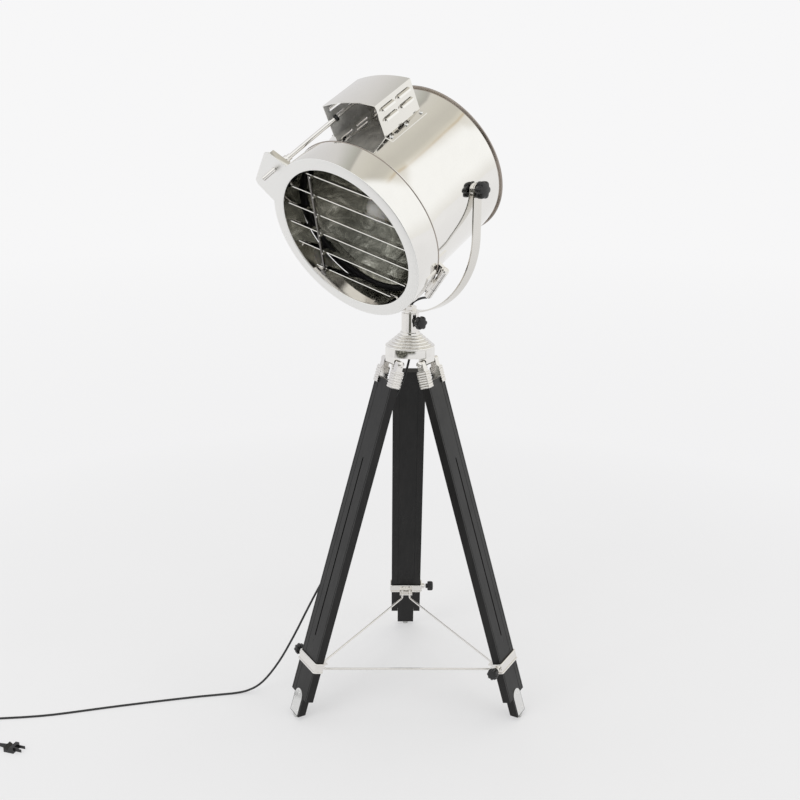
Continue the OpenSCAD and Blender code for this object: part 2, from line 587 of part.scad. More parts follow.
// ---- vent hood ----
module hood_outline(t) {
  intersection() {
    translate([0, hood_arc_z]) circle(r = hood_arc - t, $fn = 120);
    translate([-hood_half_width + t, drum_radius - 60]) square([2*hood_half_width - 2*t, 200]);
  }
}
module louvre_lip() difference() {
  rotate([0, 90, 0]) cylinder(h = louvre_length, r = louvre_height*0.85, $fn = 40);
  translate([-1, 0, 0]) rotate([0, 90, 0]) cylinder(h = louvre_length + 2, r = louvre_height*0.85 - 1.2, $fn = 40);
  translate([-1, -20, -20]) cube([louvre_length + 2, 20, 40]);
  translate([-1, -20, -20]) cube([louvre_length + 2, 40, 20]);
}
module vent_hood() nickel() drum_frame() difference() {
  union() {
    difference() {
      translate([hood_back, 0, 0]) rotate([90, 0, 90]) linear_extrude(hood_length) hood_outline(0);
      translate([hood_back + hood_wall, 0, 0]) rotate([90, 0, 90]) linear_extrude(hood_length) hood_outline(hood_wall);
      for (m = [-1, 1], a = [0, 1], b = [0, 1]) scale([1, m, 1])
        translate([hood_back + 13 + a*(louvre_length + 14), hood_half_width - 4, 180 + b*20]) cube([louvre_length, 8, louvre_height]);
    }
    // closing wall at the rear
    intersection() {
      translate([hood_back, 0, 0]) rotate([90, 0, 90]) linear_extrude(hood_wall) hood_outline(0);
      drum_disc(hood_back, hood_back + 3, 400);
    }
    // louvre lips over the slots
    for (m = [-1, 1], a = [0, 1], b = [0, 1]) scale([1, m, 1])
      translate([hood_back + 13 + a*(louvre_length + 14), hood_half_width - 0.5, 180 + b*20]) louvre_lip();
    // flanges on the drum
    for (m = [-1, 1]) intersection() {
      drum_ring(hood_back, hood_front, drum_radius, drum_radius + 1.6);
      scale([1, m, 1]) translate([hood_back, hood_half_width - hood_wall, 100]) cube([hood_length, 17, 120]);
    }
  }
  drum_disc(hood_back - 1, hood_front + 1, drum_radius);
  for (m = [-1, 1], s = hood_screw_s) translate([s, 0, 0]) rotate([-m*hood_screw_angle, 0, 0])
    translate([0, 0, drum_radius - 5]) cylinder(h = 10, r = 2, $fn = 24);
}
module hood_screws() nickel() drum_frame() for (m = [-1, 1], s = hood_screw_s)
  translate([s, 0, 0]) rotate([-m*hood_screw_angle, 0, 0]) translate([0, 0, drum_radius - 6]) {
    cylinder(h = 8, r = 1.95, $fn = 24);
    translate([0, 0, 7.8]) cylinder(h = 1.6, r = 4.2, $fn = 32);
    translate([0, 0, 9.4]) cylinder(h = 0.9, r1 = 4.2, r2 = 2.6, $fn = 32);
  }

// ---- inside the drum ----
function dish(r) = dish_s + r*r/(4*focus);
module reflector() color([0.9, 0.9, 0.9]) drum_frame() rotate([0, 90, 0]) rotate_extrude($fn = 96)
  polygon(concat(
    [for (i = [0:12]) let (r = 24 + (dish_r - 24)*i/12) [r, dish(r)]],
    [[drum_radius - drum_wall - 0.1, dish(dish_r)], [drum_radius - drum_wall - 0.1, dish(dish_r) - 1.2]],
    [for (i = [12:-1:0]) let (r = 24 + (dish_r - 24)*i/12) [r, dish(r) - 1.2]]));
module bulb() color([0.98, 0.97, 0.93]) drum_frame() translate([52, 0, 0]) rotate([0, 90, 0]) {
  cylinder(h = 14, r = 13, $fn = 48);
  translate([0, 0, 13.9]) cylinder(h = 26, r1 = 15, r2 = 27.4, $fn = 64);
  translate([0, 0, 50]) sphere(r = 30, $fn = 64);
  translate([0, 0, -22]) cylinder(h = 23, r = 12.9, $fn = 48);
}
module lamp_socket() black() drum_frame() difference() {
  union() {
    drum_disc(8, 56, 20);
    drum_disc(4, 12, 23);
    drum_disc(-drum_back - 8.5, 6, 9);
    drum_disc(-drum_back - 8.5, -drum_back - 4.5, 24);
  }
  drum_disc(29, 60, 13.1);
  translate([-12, 0, 0]) rotate([0, 90, 0]) cylinder(h = 50, r = cord_r + 0.5, $fn = 32);
  translate([-8, 0, -30]) cylinder(h = 30, r = cord_r + 0.5, $fn = 32);
}
module door_gasket() black() drum_frame()
  drum_ring(drum_front - 4, drum_front + 1.5, drum_radius - drum_wall - 12, drum_radius - drum_wall);
module cord_gland() black() drum_frame() gland_at() difference() {
  union() {
    translate([0, 0, -5]) cylinder(h = 8, r = 6, $fn = 40);
    translate([0, 0, 0.6]) cylinder(h = 4, r = 9, $fn = 40);
    translate([0, 0, 4.5]) cylinder(h = 12, r1 = 6.5, r2 = 4, $fn = 40);
  }
  translate([0, 0, -10]) cylinder(h = 40, r = cord_r + 0.05, $fn = 32);
}

// ---- door ----
// X along the drum axis, Y across the ear, Z out through the middle of the ear
module ear_frame() rotate([45, 0, 0]) children();
module rod_line() translate(rod_a) rotate([0, acos(rod_dir[2]), atan2(rod_dir[1], rod_dir[0])]) children();
module ear_outline() polygon([[-ear_width/2, ear_foot], [ear_width/2, ear_foot], [ear_top/2, ear_reach - 8],
  [ear_top/2 - 8, ear_reach], [-ear_top/2 + 8, ear_reach], [-ear_top/2, ear_reach - 8]]);
module door_ring() nickel() drum_frame() difference() {
  union() {
    rotate([0, 90, 0]) rotate_extrude($fn = 96) polygon([[door_radius, door_s], [door_radius, front_s],
      [opening_radius, front_s], [opening_radius, front_s - 3], [opening_radius + 1.2, front_s - 3],
      [opening_radius + 1.2, front_s - 2], [door_radius - door_wall, front_s - 2],
      [door_radius - door_wall, door_s + 3], [door_radius - 3, door_s + 3], [door_radius - 3, door_s]]);
    // ear plate with both side edges folded back
    ear_frame() translate([front_s - 2, 0, 0]) rotate([90, 0, 90]) linear_extrude(2) ear_outline();
    ear_frame() for (m = [-1, 1]) scale([1, m, 1])
      translate([front_s - ear_fold, ear_width/2 - 1.8, ear_foot + 3.2]) rotate([ear_tip, 0, 0])
        cube([ear_fold - 0.2, 1.6, ear_reach - 12 - ear_foot]);
  }
  rod_line() translate([0, 0, -30]) cylinder(h = 60, r = rod_diameter/2 + run_clearance, $fn = 40);
}
module shutter_ring() nickel() drum_frame() difference() {
  union() {
    drum_ring(ring_back, front_s - 2, ring_in, ring_out);
    drum_ring(ring_back, ring_back + 1.6, ring_in, ring_out + 5);
    // spacers out to the door wall
    for (a = [0:3]) rotate([a*90 + 45 + 14, 0, 0]) translate([ring_back + 1, -5, ring_out - 1])
      cube([16, 10, spacer_top - ring_out + 1]);
  }
  slat_frame() for (i = [0:slat_count - 1]) translate([slat_s, -250, slat_e(i)]) rotate([-90, 0, 0])
    cylinder(h = 500, r = slat_pin_diameter/2 + run_clearance, $fn = 32);
}
module slat(i) nickel() drum_frame() slat_frame() translate([slat_s, 0, slat_e(i)]) rotate([0, -slat_angle, 0]) {
  e = slat_e(i);
  w = slat_width/2;
  up = slat_half(abs(e) + w);
  mid = slat_half(abs(e));
  turn = e > 0 ? 1 : -1;
  difference() {
    // blade, narrowing where it meets the round of the ring when shut
    translate([0, 0, -slat_thick/2]) linear_extrude(slat_thick)
      polygon([[-turn*w, -mid], [0, -mid], [turn*w, -up], [turn*w, up], [0, mid], [-turn*w, mid]]);
  }
  // pivot pins
  for (m = [-1, 1]) scale([1, m, 1]) translate([0, mid - 14, 0]) rotate([-90, 0, 0])
    cylinder(h = sqrt(ring_out*ring_out - e*e) - mid + 14, d = slat_pin_diameter, $fn = 32);
  // lug and pin for the link bar
  translate([0, -link_offset + link_width/2 + part_gap, 0]) {
    translate([w - 3, 0, -slat_thick/2]) cube([lug_u - w + 3, 1.5, slat_thick/2 + lug_v_up]);
    translate([lug_u, 0, -lug_v]) rotate([-90, 0, 0]) cylinder(h = 1.5, r = 2.6, $fn = 32);
    translate([w - 3, 0, -lug_v - 1]) cube([lug_u - w + 3, 1.5, lug_v + 1]);
    translate([lug_u, -link_width - part_gap - 0.8, -lug_v]) rotate([-90, 0, 0])
      cylinder(h = link_width + part_gap + 1.6, r = 1.25, $fn = 24);
  }
}
module link_bar() nickel() drum_frame() slat_frame() difference() {
  union() {
    translate([bar_s - 2, -link_offset - link_width/2, slat_e(0) + bar_e - 4])
      cube([4, link_width, 5*slat_pitch + 8]);
    // round finger grip in front of the foot of the bar
    translate([bar_s + 1, -link_offset, slat_e(0) + bar_e - 2]) rotate([0, 90, 0]) {
      cylinder(h = 4, r = 2, $fn = 32);
      translate([0, 0, 2.4]) cylinder(h = 2.5, r = 6.5, $fn = 40);
      translate([0, 0, 4.9]) cylinder(h = 1.5, r1 = 6.5, r2 = 5, $fn = 40);
    }
  }
  for (i = [0:slat_count - 1]) translate([bar_s, -link_offset - 10, slat_e(i) + bar_e]) rotate([-90, 0, 0])
    cylinder(h = 20, r = 1.25 + run_clearance, $fn = 24);
}
module latch_rod() nickel() drum_frame() rod_line() {
  translate([0, 0, -rod_reach - 58]) cylinder(h = rod_reach + 86, d = rod_diameter, $fn = 32);
  translate([0, 0, 26]) cylinder(h = 12, d = rod_diameter + 1.5, $fn = 32);
  // collar behind the ear
  translate([0, 0, -90]) cylinder(h = 8, d = 20, $fn = 40);
  // ring at the hood mouth and the sleeve behind it
  translate([0, 0, -rod_reach]) cylinder(h = 6, d = 14, $fn = 40);
  translate([0, 0, -rod_reach - 42]) cylinder(h = 43, d = 9.6, $fn = 40);
}

// ---- cord ----
function unit(v) = v/norm(v);
function tangent(p, i) = unit(p[min(i + 1, len(p) - 1)] - p[max(i - 1, 0)]);
function square_to(n, t) = unit(n - t*(n*t));
function side_of(p, i, n) = let (m = square_to(n, tangent(p, i)))
  i == len(p) - 1 ? [m] : concat([m], side_of(p, i + 1, m));
function first_side(p) = let (t = tangent(p, 0)) square_to(abs(t[2]) < 0.9 ? [0, 0, 1] : [1, 0, 0], t);
module tube(p, r, k) {
  n = side_of(p, 0, first_side(p));
  pts = [for (i = [0:len(p) - 1], j = [0:k - 1]) let (t = tangent(p, i), b = cross(t, n[i]), a = 360*j/k)
    p[i] + r*(cos(a)*n[i] + sin(a)*b)];
  faces = concat([[for (j = [0:k - 1]) j]],
    [for (i = [0:len(p) - 2], j = [0:k - 1]) [i*k + j, (i + 1)*k + j, (i + 1)*k + (j + 1)%k, i*k + (j + 1)%k]],
    [[for (j = [k - 1:-1:0]) (len(p) - 1)*k + j]]);
  polyhedron(points = pts, faces = faces, convexity = 10);
}
function spline(a, b, c, d, u) = 0.5*((2*b) + (c - a)*u + (2*a - 5*b + 4*c - d)*u*u + (3*b - a - 3*c + d)*u*u*u);
function smooth(q, k) = concat([q[0]], [for (i = [1:len(q) - 3], j = [0:k - 1])
  spline(q[i - 1], q[i], q[i + 1], q[i + 2], j/k)], [q[len(q) - 2], q[len(q) - 1]]);
// from the gland on the drum down into the hollow swivel stem
gland_out = head_point([gland_s, (drum_radius + 4)*cos(gland_dir), (drum_radius + 4)*sin(gland_dir)]);
gland_far = head_point([gland_s, (drum_radius + 16)*cos(gland_dir), (drum_radius + 16)*sin(gland_dir)]);
gland_on = head_point([gland_s, (drum_radius + 28)*cos(gland_dir), (drum_radius + 28)*sin(gland_dir)]);
function head_point(p) = let (x = p[0]*cos(tilt_angle) + (p[2] + axis_rise)*sin(tilt_angle),
    z = (p[2] + axis_rise)*cos(tilt_angle) - p[0]*sin(tilt_angle))
  [x*cos(pan_angle) - p[1]*sin(pan_angle) + shift_x, x*sin(pan_angle) + p[1]*cos(pan_angle) + shift_y,
    tilt_axis_height + z];
upper_low = [shift_x, shift_y, bell_top - 6];
// shares of the way from the foot of the yoke to the gland
function hang(a, b, c) = let (g = gland_on - [shift_x, shift_y, strip_top])
  [shift_x + a*g[0], shift_y + b*g[1], strip_top + c*g[2]];
upper_path = concat([head_point([gland_s, (drum_radius - 8)*cos(gland_dir), (drum_radius - 8)*sin(gland_dir)])],
  smooth([gland_out, gland_far, gland_on, hang(1.14, 0.877, 0.797), hang(1.095, 0.68, 0.675),
  hang(0.857, 0.465, 0.614), hang(0.54, 0.268, 0.513), hang(0.206, 0.098, 0.351), hang(0.051, 0.023, 0.169),
  hang(0.006, 0.004, -0.054), hang(0, 0, -0.317), upper_low], 3));
module cord_upper() black() tube(upper_path, cord_r, 8);
// from the stem down through the bell, behind the left leg and over the floor
lower_points = [[0, 0, bell_top - 6.4], [0, 0, bell_top - 16], [0, 0, bell_neck - 30], [-2, 2, bell_neck - 52],
  [-16, 6, 740], [-44, 12, 680], [-66, 15, 620], [-78, 14, 560], [-92, 10, 480], [-120, 2, 400],
  [-158, -8, 330], [-198, -18, 270], [-232, -25, 205], [-264, -31, 140], [-300, -39, 76], [-338, -47, 28],
  [-372, -53, 8], [-410, -59, cord_r + 0.1], [-450, -66, cord_r + 0.1], [-494, -74, cord_r + 0.1],
  [-590, -95, cord_r + 0.1], [-683, -117, cord_r + 0.1], [-798, -146, cord_r + 0.1], [-870, -157, cord_r + 0.1],
  [-913, -161, cord_r + 0.1]];
lower_path = [for (p = smooth(lower_points, 3)) [p[0], p[1], max(p[2], cord_r + 0.1)]];
module cord_lower() black() translate([shift_x, shift_y, 0]) tube(lower_path, cord_r, 8);
// the rest of the cord in a flat coil: in on the floor, out on top, then down beside it to the plug
coil_turns = 4;
coil_pitch = 6.6;
coil_lift = 5.7;
coil_mid = 28;
coil_out = coil_mid + coil_pitch*coil_turns/2;
coil_in = coil_out - coil_pitch*coil_turns;
coil_centre = [-955, -161 - coil_out, cord_r + 0.1];
function coil_r(a) = a < 360*coil_turns ? coil_out - coil_pitch*a/360 :
  a < 360*coil_turns + 180 ? coil_in : coil_in + coil_pitch*(a - 360*coil_turns - 180)/360;
function coil_z(a) = a < 360*coil_turns ? 0 : a < 360*coil_turns + 180 ?
  coil_lift*(1 - cos(a - 360*coil_turns))/2 : coil_lift;
coil_end = 720*coil_turns + 180;
function coil_point(a) = coil_centre + [-coil_r(a)*sin(a), coil_r(a)*cos(a), coil_z(a)];
tail = coil_point(coil_end);
coil_path = concat([[-913.4, -161, cord_r + 0.1], [-925, -161.1, cord_r + 0.1], [-940, -161.2, cord_r + 0.1]],
  [for (a = [0:15:coil_end]) coil_point(a)],
  [tail + [12, -1, 0], tail + [24, -3, -1.2], tail + [36, -6, -3], tail + [48, -10, -3.2], tail + [62, -15, -1.9],
    tail + [72, -18.1, -1.3], tail + [78, -20, -1.3]]);
module cord_coil() black() translate([shift_x, shift_y, 0]) tube(coil_path, cord_r, 6);
coil_gap = min([for (i = [3:len(coil_path) - 1], j = [i + 8:1:len(coil_path) - 1])
  norm(coil_path[i] - coil_path[j])]) - 2*cord_r;
echo(coil_gap = coil_gap, shift_x = shift_x, shift_y = shift_y);
plug_at = coil_path[len(coil_path) - 1];
plug_dir = atan2(-4, 13);
module plug() black() translate([shift_x, shift_y, 0]) translate([plug_at[0], plug_at[1], 0]) rotate([0, 0, plug_dir]) {
  translate([0.4, 0, plug_at[2]]) rotate([0, 90, 0]) cylinder(h = 21, r1 = 3.4, r2 = 5, $fn = 32);
  difference() {
    translate([20, -11, 0]) cube([24, 22, 14]);
    translate([16, -12, 14]) rotate([0, 34, 0]) cube([16, 24, 12]);
  }
  for (m = [-1, 1]) translate([43, m*6.35 - 0.75, 4]) cube([18, 1.5, 6.4]);
}

// ---- nodes that repeat a piece ----
module side_rails() wood() for (i = [0:2]) rail_pair(i);
module ferrules() nickel() for (i = [0:2]) ferrule_pair(i);
module leg_clamps() nickel() for (i = [0:2]) clamp(i);
module slide_rear() slide(0);
module slide_left() slide(1);
module slide_right() slide(2);
module foot_plate_rear() foot_plate(0);
module foot_plate_left() foot_plate(1);
module foot_plate_right() foot_plate(2);
module foot_screws_rear() foot_screws(0);
module foot_screws_left() foot_screws(1);
module foot_screws_right() foot_screws(2);
module foot_pad_rear() foot_pad(0);
module foot_pad_left() foot_pad(1);
module foot_pad_right() foot_pad(2);
module clamp_knob_rear() clamp_knob(0);
module clamp_knob_left() clamp_knob(1);
module clamp_knob_right() clamp_knob(2);
module tilt_knob_near() tilt_knob(1);
module tilt_knob_far() tilt_knob(-1);
module slat_1() slat(0);
module slat_2() slat(1);
module slat_3() slat(2);
module slat_4() slat(3);
module slat_5() slat(4);
module slat_6() slat(5);

bell();
post_tube();
strain_relief();
leg_bolts();
ferrules();
side_rails();
leg_clamps();
brace_rods();
slide_rear();
slide_left();
slide_right();
foot_plate_rear();
foot_plate_left();
foot_plate_right();
foot_screws_rear();
foot_screws_left();
foot_screws_right();
foot_pad_rear();
foot_pad_left();
foot_pad_right();
clamp_knob_rear();
clamp_knob_left();
clamp_knob_right();
pan_knob();
yoke_bar();
yoke_stem();
yoke_nut();
tilt_knob_near();
tilt_knob_far();
drum_shell();
rear_cover();
trunnion_bushes();
drum_hinge_leaf();
hinge_pin();
vent_hood();
hood_screws();
reflector();
bulb();
lamp_socket();
door_gasket();
cord_gland();
door_ring();
shutter_ring();
door_hinge_leaf();
slat_1();
slat_2();
slat_3();
slat_4();
slat_5();
slat_6();
link_bar();
latch_rod();
cord_upper();
cord_lower();
cord_coil();
plug();
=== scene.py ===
import math
import bpy
import bmesh
from mathutils import Matrix, Vector


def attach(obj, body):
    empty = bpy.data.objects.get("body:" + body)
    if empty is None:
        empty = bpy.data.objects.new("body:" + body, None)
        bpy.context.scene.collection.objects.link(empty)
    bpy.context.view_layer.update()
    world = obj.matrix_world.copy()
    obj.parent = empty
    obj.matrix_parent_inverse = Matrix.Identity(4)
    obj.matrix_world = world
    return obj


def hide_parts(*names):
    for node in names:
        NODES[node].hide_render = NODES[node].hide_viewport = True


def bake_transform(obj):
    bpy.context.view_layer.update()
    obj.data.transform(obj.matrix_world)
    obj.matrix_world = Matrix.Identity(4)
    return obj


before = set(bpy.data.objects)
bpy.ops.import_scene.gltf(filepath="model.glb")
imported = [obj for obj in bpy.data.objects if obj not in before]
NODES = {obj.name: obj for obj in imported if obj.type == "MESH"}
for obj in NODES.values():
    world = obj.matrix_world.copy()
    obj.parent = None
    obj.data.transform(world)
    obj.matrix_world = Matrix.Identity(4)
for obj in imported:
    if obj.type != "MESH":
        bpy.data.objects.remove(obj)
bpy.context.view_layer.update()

Z_UP = Vector((0, 0, 1))


# ---- frames: points are in metres, profiles and layers in millimetres ----
def compass(degrees):
    # the unit vectors outward and sideways at an angle round the column
    a = math.radians(degrees)
    return Vector((math.cos(a), math.sin(a), 0)), Vector((-math.sin(a), math.cos(a), 0))


def basis(origin, x, y, z):
    return Matrix((
        (x.x, y.x, z.x, origin.x),
        (x.y, y.y, z.y, origin.y),
        (x.z, y.z, z.z, origin.z),
        (0, 0, 0, 1)))


def axis_m(origin, z):
    x = Z_UP.cross(z).normalized()
    return basis(origin, x, z.cross(x), z)


# ---- sizes repeated from the source ----
SX, SY = 0.0240166, -0.0060336
SHIFT = Vector((SX, SY, 0))
COLUMN = Matrix.Translation(SHIFT)
TILT_H = 1.167
AXIS_RISE = 0.008
PAN, TILT = 228, math.radians(28)
BESIDE, NN = compass(PAN)
AX = BESIDE * math.cos(TILT) - Z_UP * math.sin(TILT)
UP = BESIDE * math.sin(TILT) + Z_UP * math.cos(TILT)
PIVOT = SHIFT + Z_UP * TILT_H
HEAD = PIVOT + UP * AXIS_RISE
DRUM = basis(HEAD, NN, UP, AX)
DRUM_R, DRUM_WALL, DRUM_BACK, DRUM_FRONT = 168.0, 1.5, -85, 153
FLANGE_R, FLANGE_BACK = 175, 148
DOOR_R, DOOR_WALL, DOOR_BACK, DOOR_FRONT = 180.0, 1.5, 156, 223
OPENING_R, LIP, LIP_WALL = 155, 3, 1.2
INSIDE_R = 166.3
LEGS = {"rear": 90, "left": 210, "right": 330}
LEAN = math.radians(17.2)
LEG_FOOT, LEG_THICK, LEG_WIDE = 0.2992, 0.018, 0.074
LEG_MID = -LEG_THICK / 2
BOLT_H, CLAMP_H = 0.835, 0.136
CORD_R = 0.0025


def head(s, n, u):
    # s along the drum to the front, n across it, u upward
    return HEAD + AX * s + NN * n + UP * u


def leg_m(az):
    # x outward through the leg's thickness, y across its width, z up along it
    out, side = compass(az)
    face = out * math.cos(LEAN) + Z_UP * math.sin(LEAN)
    along = -out * math.sin(LEAN) + Z_UP * math.cos(LEAN)
    return basis(SHIFT + out * LEG_FOOT, face, side, along)


# ---- camera, fitted to the photograph's viewing angle for an 800 x 800 frame ----
def camera():
    pitch, yaw, roll = math.radians(15.862), math.radians(0.547), math.radians(-0.391)
    level = Vector((math.sin(yaw), math.cos(yaw), 0))
    ahead = level * math.cos(pitch) - Z_UP * math.sin(pitch)
    right = Vector((math.cos(yaw), -math.sin(yaw), 0))
    down = ahead.cross(right)
    right_rolled = right * math.cos(roll) + down * math.sin(roll)
    up_rolled = right * math.sin(roll) - down * math.cos(roll)
    data = bpy.data.cameras.new("camera")
    data.lens, data.sensor_width, data.sensor_fit = 45.05, 36.0, "HORIZONTAL"
    data.clip_start, data.clip_end = 0.05, 60
    cam = bpy.data.objects.new("camera", data)
    bpy.context.collection.objects.link(cam)
    cam.matrix_world = basis(SHIFT + Vector((-0.0413, -2.129, 1.3068)), right_rolled, up_rolled, -ahead)
    bpy.context.scene.camera = cam


camera()


# ---- node helpers ----
def new_mat(name):
    m = bpy.data.materials.new(name)
    m.use_nodes = True
    nt = m.node_tree
    nt.nodes.clear()
    out = nt.nodes.new("ShaderNodeOutputMaterial")
    b = nt.nodes.new("ShaderNodeBsdfPrincipled")
    nt.links.new(b.outputs[0], out.inputs[0])
    return m, nt, b


def coords(nt, scale=(1, 1, 1)):
    t = nt.nodes.new("ShaderNodeTexCoord")
    m = nt.nodes.new("ShaderNodeMapping")
    m.inputs["Scale"].default_value = scale
    nt.links.new(t.outputs["Object"], m.inputs[0])
    return m.outputs[0]


def noise(nt, vec, scale, detail=3.0, rough=0.5, dist=0.0):
    n = nt.nodes.new("ShaderNodeTexNoise")
    n.inputs["Scale"].default_value = scale
    n.inputs["Detail"].default_value = detail
    n.inputs["Roughness"].default_value = rough
    n.inputs["Distortion"].default_value = dist
    nt.links.new(vec, n.inputs["Vector"])
    return n.outputs["Fac"]


def ramp(nt, fac, stops):
    r = nt.nodes.new("ShaderNodeValToRGB")
    e = r.color_ramp.elements
    while len(e) < len(stops):
        e.new(0.5)
    for i, (p, c) in enumerate(stops):
        e[i].position = p
        e[i].color = (*c, 1)
    nt.links.new(fac, r.inputs[0])
    return r.outputs[0]


def to_range(nt, fac, a, b, lo=0.0, hi=1.0, kind="LINEAR"):
    m = nt.nodes.new("ShaderNodeMapRange")
    m.interpolation_type = kind
    m.inputs["From Min"].default_value = lo
    m.inputs["From Max"].default_value = hi
    m.inputs["To Min"].default_value = a
    m.inputs["To Max"].default_value = b
    nt.links.new(fac, m.inputs["Value"])
    return m.outputs[0]


def bump(nt, height, strength, distance, normal=None):
    b = nt.nodes.new("ShaderNodeBump")
    b.inputs["Strength"].default_value = strength
    b.inputs["Distance"].default_value = distance
    nt.links.new(height, b.inputs["Height"])
    if normal is not None:
        nt.links.new(normal, b.inputs["Normal"])
    return b.outputs[0]


def maths(nt, op, *values):
    n = nt.nodes.new("ShaderNodeMath")
    n.operation = op
    for socket, x in zip(n.inputs, values):
        if isinstance(x, (int, float)):
            socket.default_value = x
        else:
            nt.links.new(x, socket)
    return n.outputs[0]


def mix_color(nt, fac, a, b):
    n = nt.nodes.new("ShaderNodeMix")
    n.data_type = "RGBA"
    nt.links.new(fac, n.inputs[0])
    for i, x in ((6, a), (7, b)):
        if isinstance(x, tuple):
            n.inputs[i].default_value = (*x, 1)
        else:
            nt.links.new(x, n.inputs[i])
    return n.outputs[2]


def mix_shader(nt, fac, a, b):
    n = nt.nodes.new("ShaderNodeMixShader")
    for socket, x in zip(n.inputs, (fac, a, b)):
        nt.links.new(x, socket)
    return n.outputs[0]


# ---- materials ----
def polished(name, base, rough, wave=0.0, scratch=0.05, tint=0.03):
    m, nt, b = new_mat(name)
    v = coords(nt)
    cloud = noise(nt, v, 22, 5, 0.6, 0.4)
    fine = noise(nt, coords(nt, (1, 1, 14)), 160, 3, 0.6)
    low = tuple(c * (1 - tint) for c in base)
    nt.links.new(ramp(nt, cloud, [(0.3, low), (0.7, base)]), b.inputs["Base Color"])
    b.inputs["Metallic"].default_value = 1.0
    nt.links.new(to_range(nt, cloud, rough[0], rough[1], 0.25, 0.75), b.inputs["Roughness"])
    normal = bump(nt, fine, scratch, 0.0002)
    if wave:
        normal = bump(nt, noise(nt, v, 6.0, 1.0, 0.4), wave, 0.004, normal)
    nt.links.new(normal, b.inputs["Normal"])
    return m


def mirror(name):
    # a spun reflector, finely ringed, with painted reflections: dark and bright cloudy patches in its colour
    m, nt, b = new_mat(name)
    cloud = noise(nt, coords(nt), 16, 6, 0.75, 1.2)
    rings = noise(nt, coords(nt, (1, 1, 5)), 55, 4, 0.7, 0.3)
    # painted reflections: the reflector's colour runs from near black to near white
    tones = [(0.34, (0.09, 0.09, 0.075)), (0.50, (0.22, 0.22, 0.19)), (0.60, (0.42, 0.42, 0.37)),
        (0.70, (0.85, 0.85, 0.80))]
    nt.links.new(ramp(nt, cloud, tones), b.inputs["Base Color"])
    b.inputs["Metallic"].default_value = 1.0
    nt.links.new(to_range(nt, cloud, 0.05, 0.16, 0.25, 0.75), b.inputs["Roughness"])
    nt.links.new(bump(nt, cloud, 0.9, 0.003, bump(nt, rings, 0.5, 0.0012)), b.inputs["Normal"])
    return m


def wood(name):
    # black stain over a long grain with fine pores
    m, nt, b = new_mat(name)
    grain = noise(nt, coords(nt, (1, 1, 0.07)), 90, 6, 0.62, 0.6)
    pores = noise(nt, coords(nt, (1, 1, 0.03)), 420, 3, 0.6)
    wear = noise(nt, coords(nt), 14, 4, 0.6)
    tones = [(0.25, (0.005, 0.005, 0.0052)), (0.55, (0.010, 0.0096, 0.0095)), (0.8, (0.018, 0.017, 0.0165))]
    nt.links.new(ramp(nt, grain, tones), b.inputs["Base Color"])
    nt.links.new(to_range(nt, wear, 0.26, 0.42, 0.3, 0.7), b.inputs["Roughness"])
    nt.links.new(bump(nt, pores, 0.35, 0.0003, bump(nt, grain, 0.25, 0.0004)), b.inputs["Normal"])
    b.inputs["Coat Weight"].default_value = 0.10
    b.inputs["Coat Roughness"].default_value = 0.22
    b.inputs["Specular IOR Level"].default_value = 0.26
    return m


def plastic(name, base, rough, grain):
    m, nt, b = new_mat(name)
    v = coords(nt)
    fine = noise(nt, v, 900, 3, 0.6)
    cloud = noise(nt, v, 30, 4, 0.6)
    tones = [(0.35, tuple(c * 0.8 for c in base)), (0.7, tuple(c * 1.3 for c in base))]
    nt.links.new(ramp(nt, cloud, tones), b.inputs["Base Color"])
    nt.links.new(to_range(nt, cloud, rough - 0.06, rough + 0.08, 0.3, 0.7), b.inputs["Roughness"])
    nt.links.new(bump(nt, fine, grain, 0.0002), b.inputs["Normal"])
    return m


def glass(name):
    m, nt, b = new_mat(name)
    cloud = noise(nt, coords(nt), 60, 3, 0.5)
    tones = [(0.3, (0.93, 0.91, 0.86)), (0.7, (0.98, 0.97, 0.93))]
    nt.links.new(ramp(nt, cloud, tones), b.inputs["Base Color"])
    nt.links.new(to_range(nt, cloud, 0.10, 0.2), b.inputs["Roughness"])
    b.inputs["Coat Weight"].default_value = 0.8
    b.inputs["Coat Roughness"].default_value = 0.04
    b.inputs["Subsurface Weight"].default_value = 0.25
    b.inputs["Subsurface Radius"].default_value = (0.02, 0.018, 0.014)
    nt.links.new(bump(nt, cloud, 0.05, 0.0004), b.inputs["Normal"])
    return m


NICKEL = polished("polished_nickel", (0.86, 0.845, 0.815), (0.04, 0.10), wave=0.35)
NICKEL_SMALL = polished("polished_nickel_small", (0.84, 0.82, 0.79), (0.06, 0.16), scratch=0.1)
FACE = polished("brushed_face", (0.90, 0.895, 0.875), (0.26, 0.32), scratch=0.03, tint=0.02)
STEEL = polished("steel_bright", (0.82, 0.82, 0.81), (0.12, 0.22), scratch=0.15)
LINK = polished("link_dark", (0.20, 0.19, 0.18), (0.2, 0.34), scratch=0.15)
# a dark nickel for the rear wire bead, also used as painted shade in the groove between the drum flange and
# the door
DARK_BEAD_AND_GROOVE_SHADE = polished("dark_bead_and_groove_shade", (0.42, 0.37, 0.33), (0.14, 0.3), scratch=0.15, tint=0.25)
# a darker, warmer copy of the nickel: painted shade on the yoke bar and on the ear's folded edges
NICKEL_PAINTED_SHADE = polished("nickel_painted_shade", (0.76, 0.74, 0.70), (0.08, 0.18), scratch=0.1)
MIRROR = mirror("reflector_mirror_painted_reflections")
WOOD = wood("black_stained_wood")
BLACK = plastic("black_plastic", (0.009, 0.009, 0.0095), 0.26, 0.12)
RUBBER = plastic("black_rubber", (0.014, 0.014, 0.015), 0.55, 0.35)
CORD = plastic("cord_jacket", (0.016, 0.016, 0.017), 0.42, 0.2)
SATIN = plastic("hood_inside_satin", (0.72, 0.715, 0.70), 0.32, 0.05)
GLIDE = plastic("pale_glide", (0.62, 0.62, 0.61), 0.4, 0.1)
BULB = glass("opal_glass")

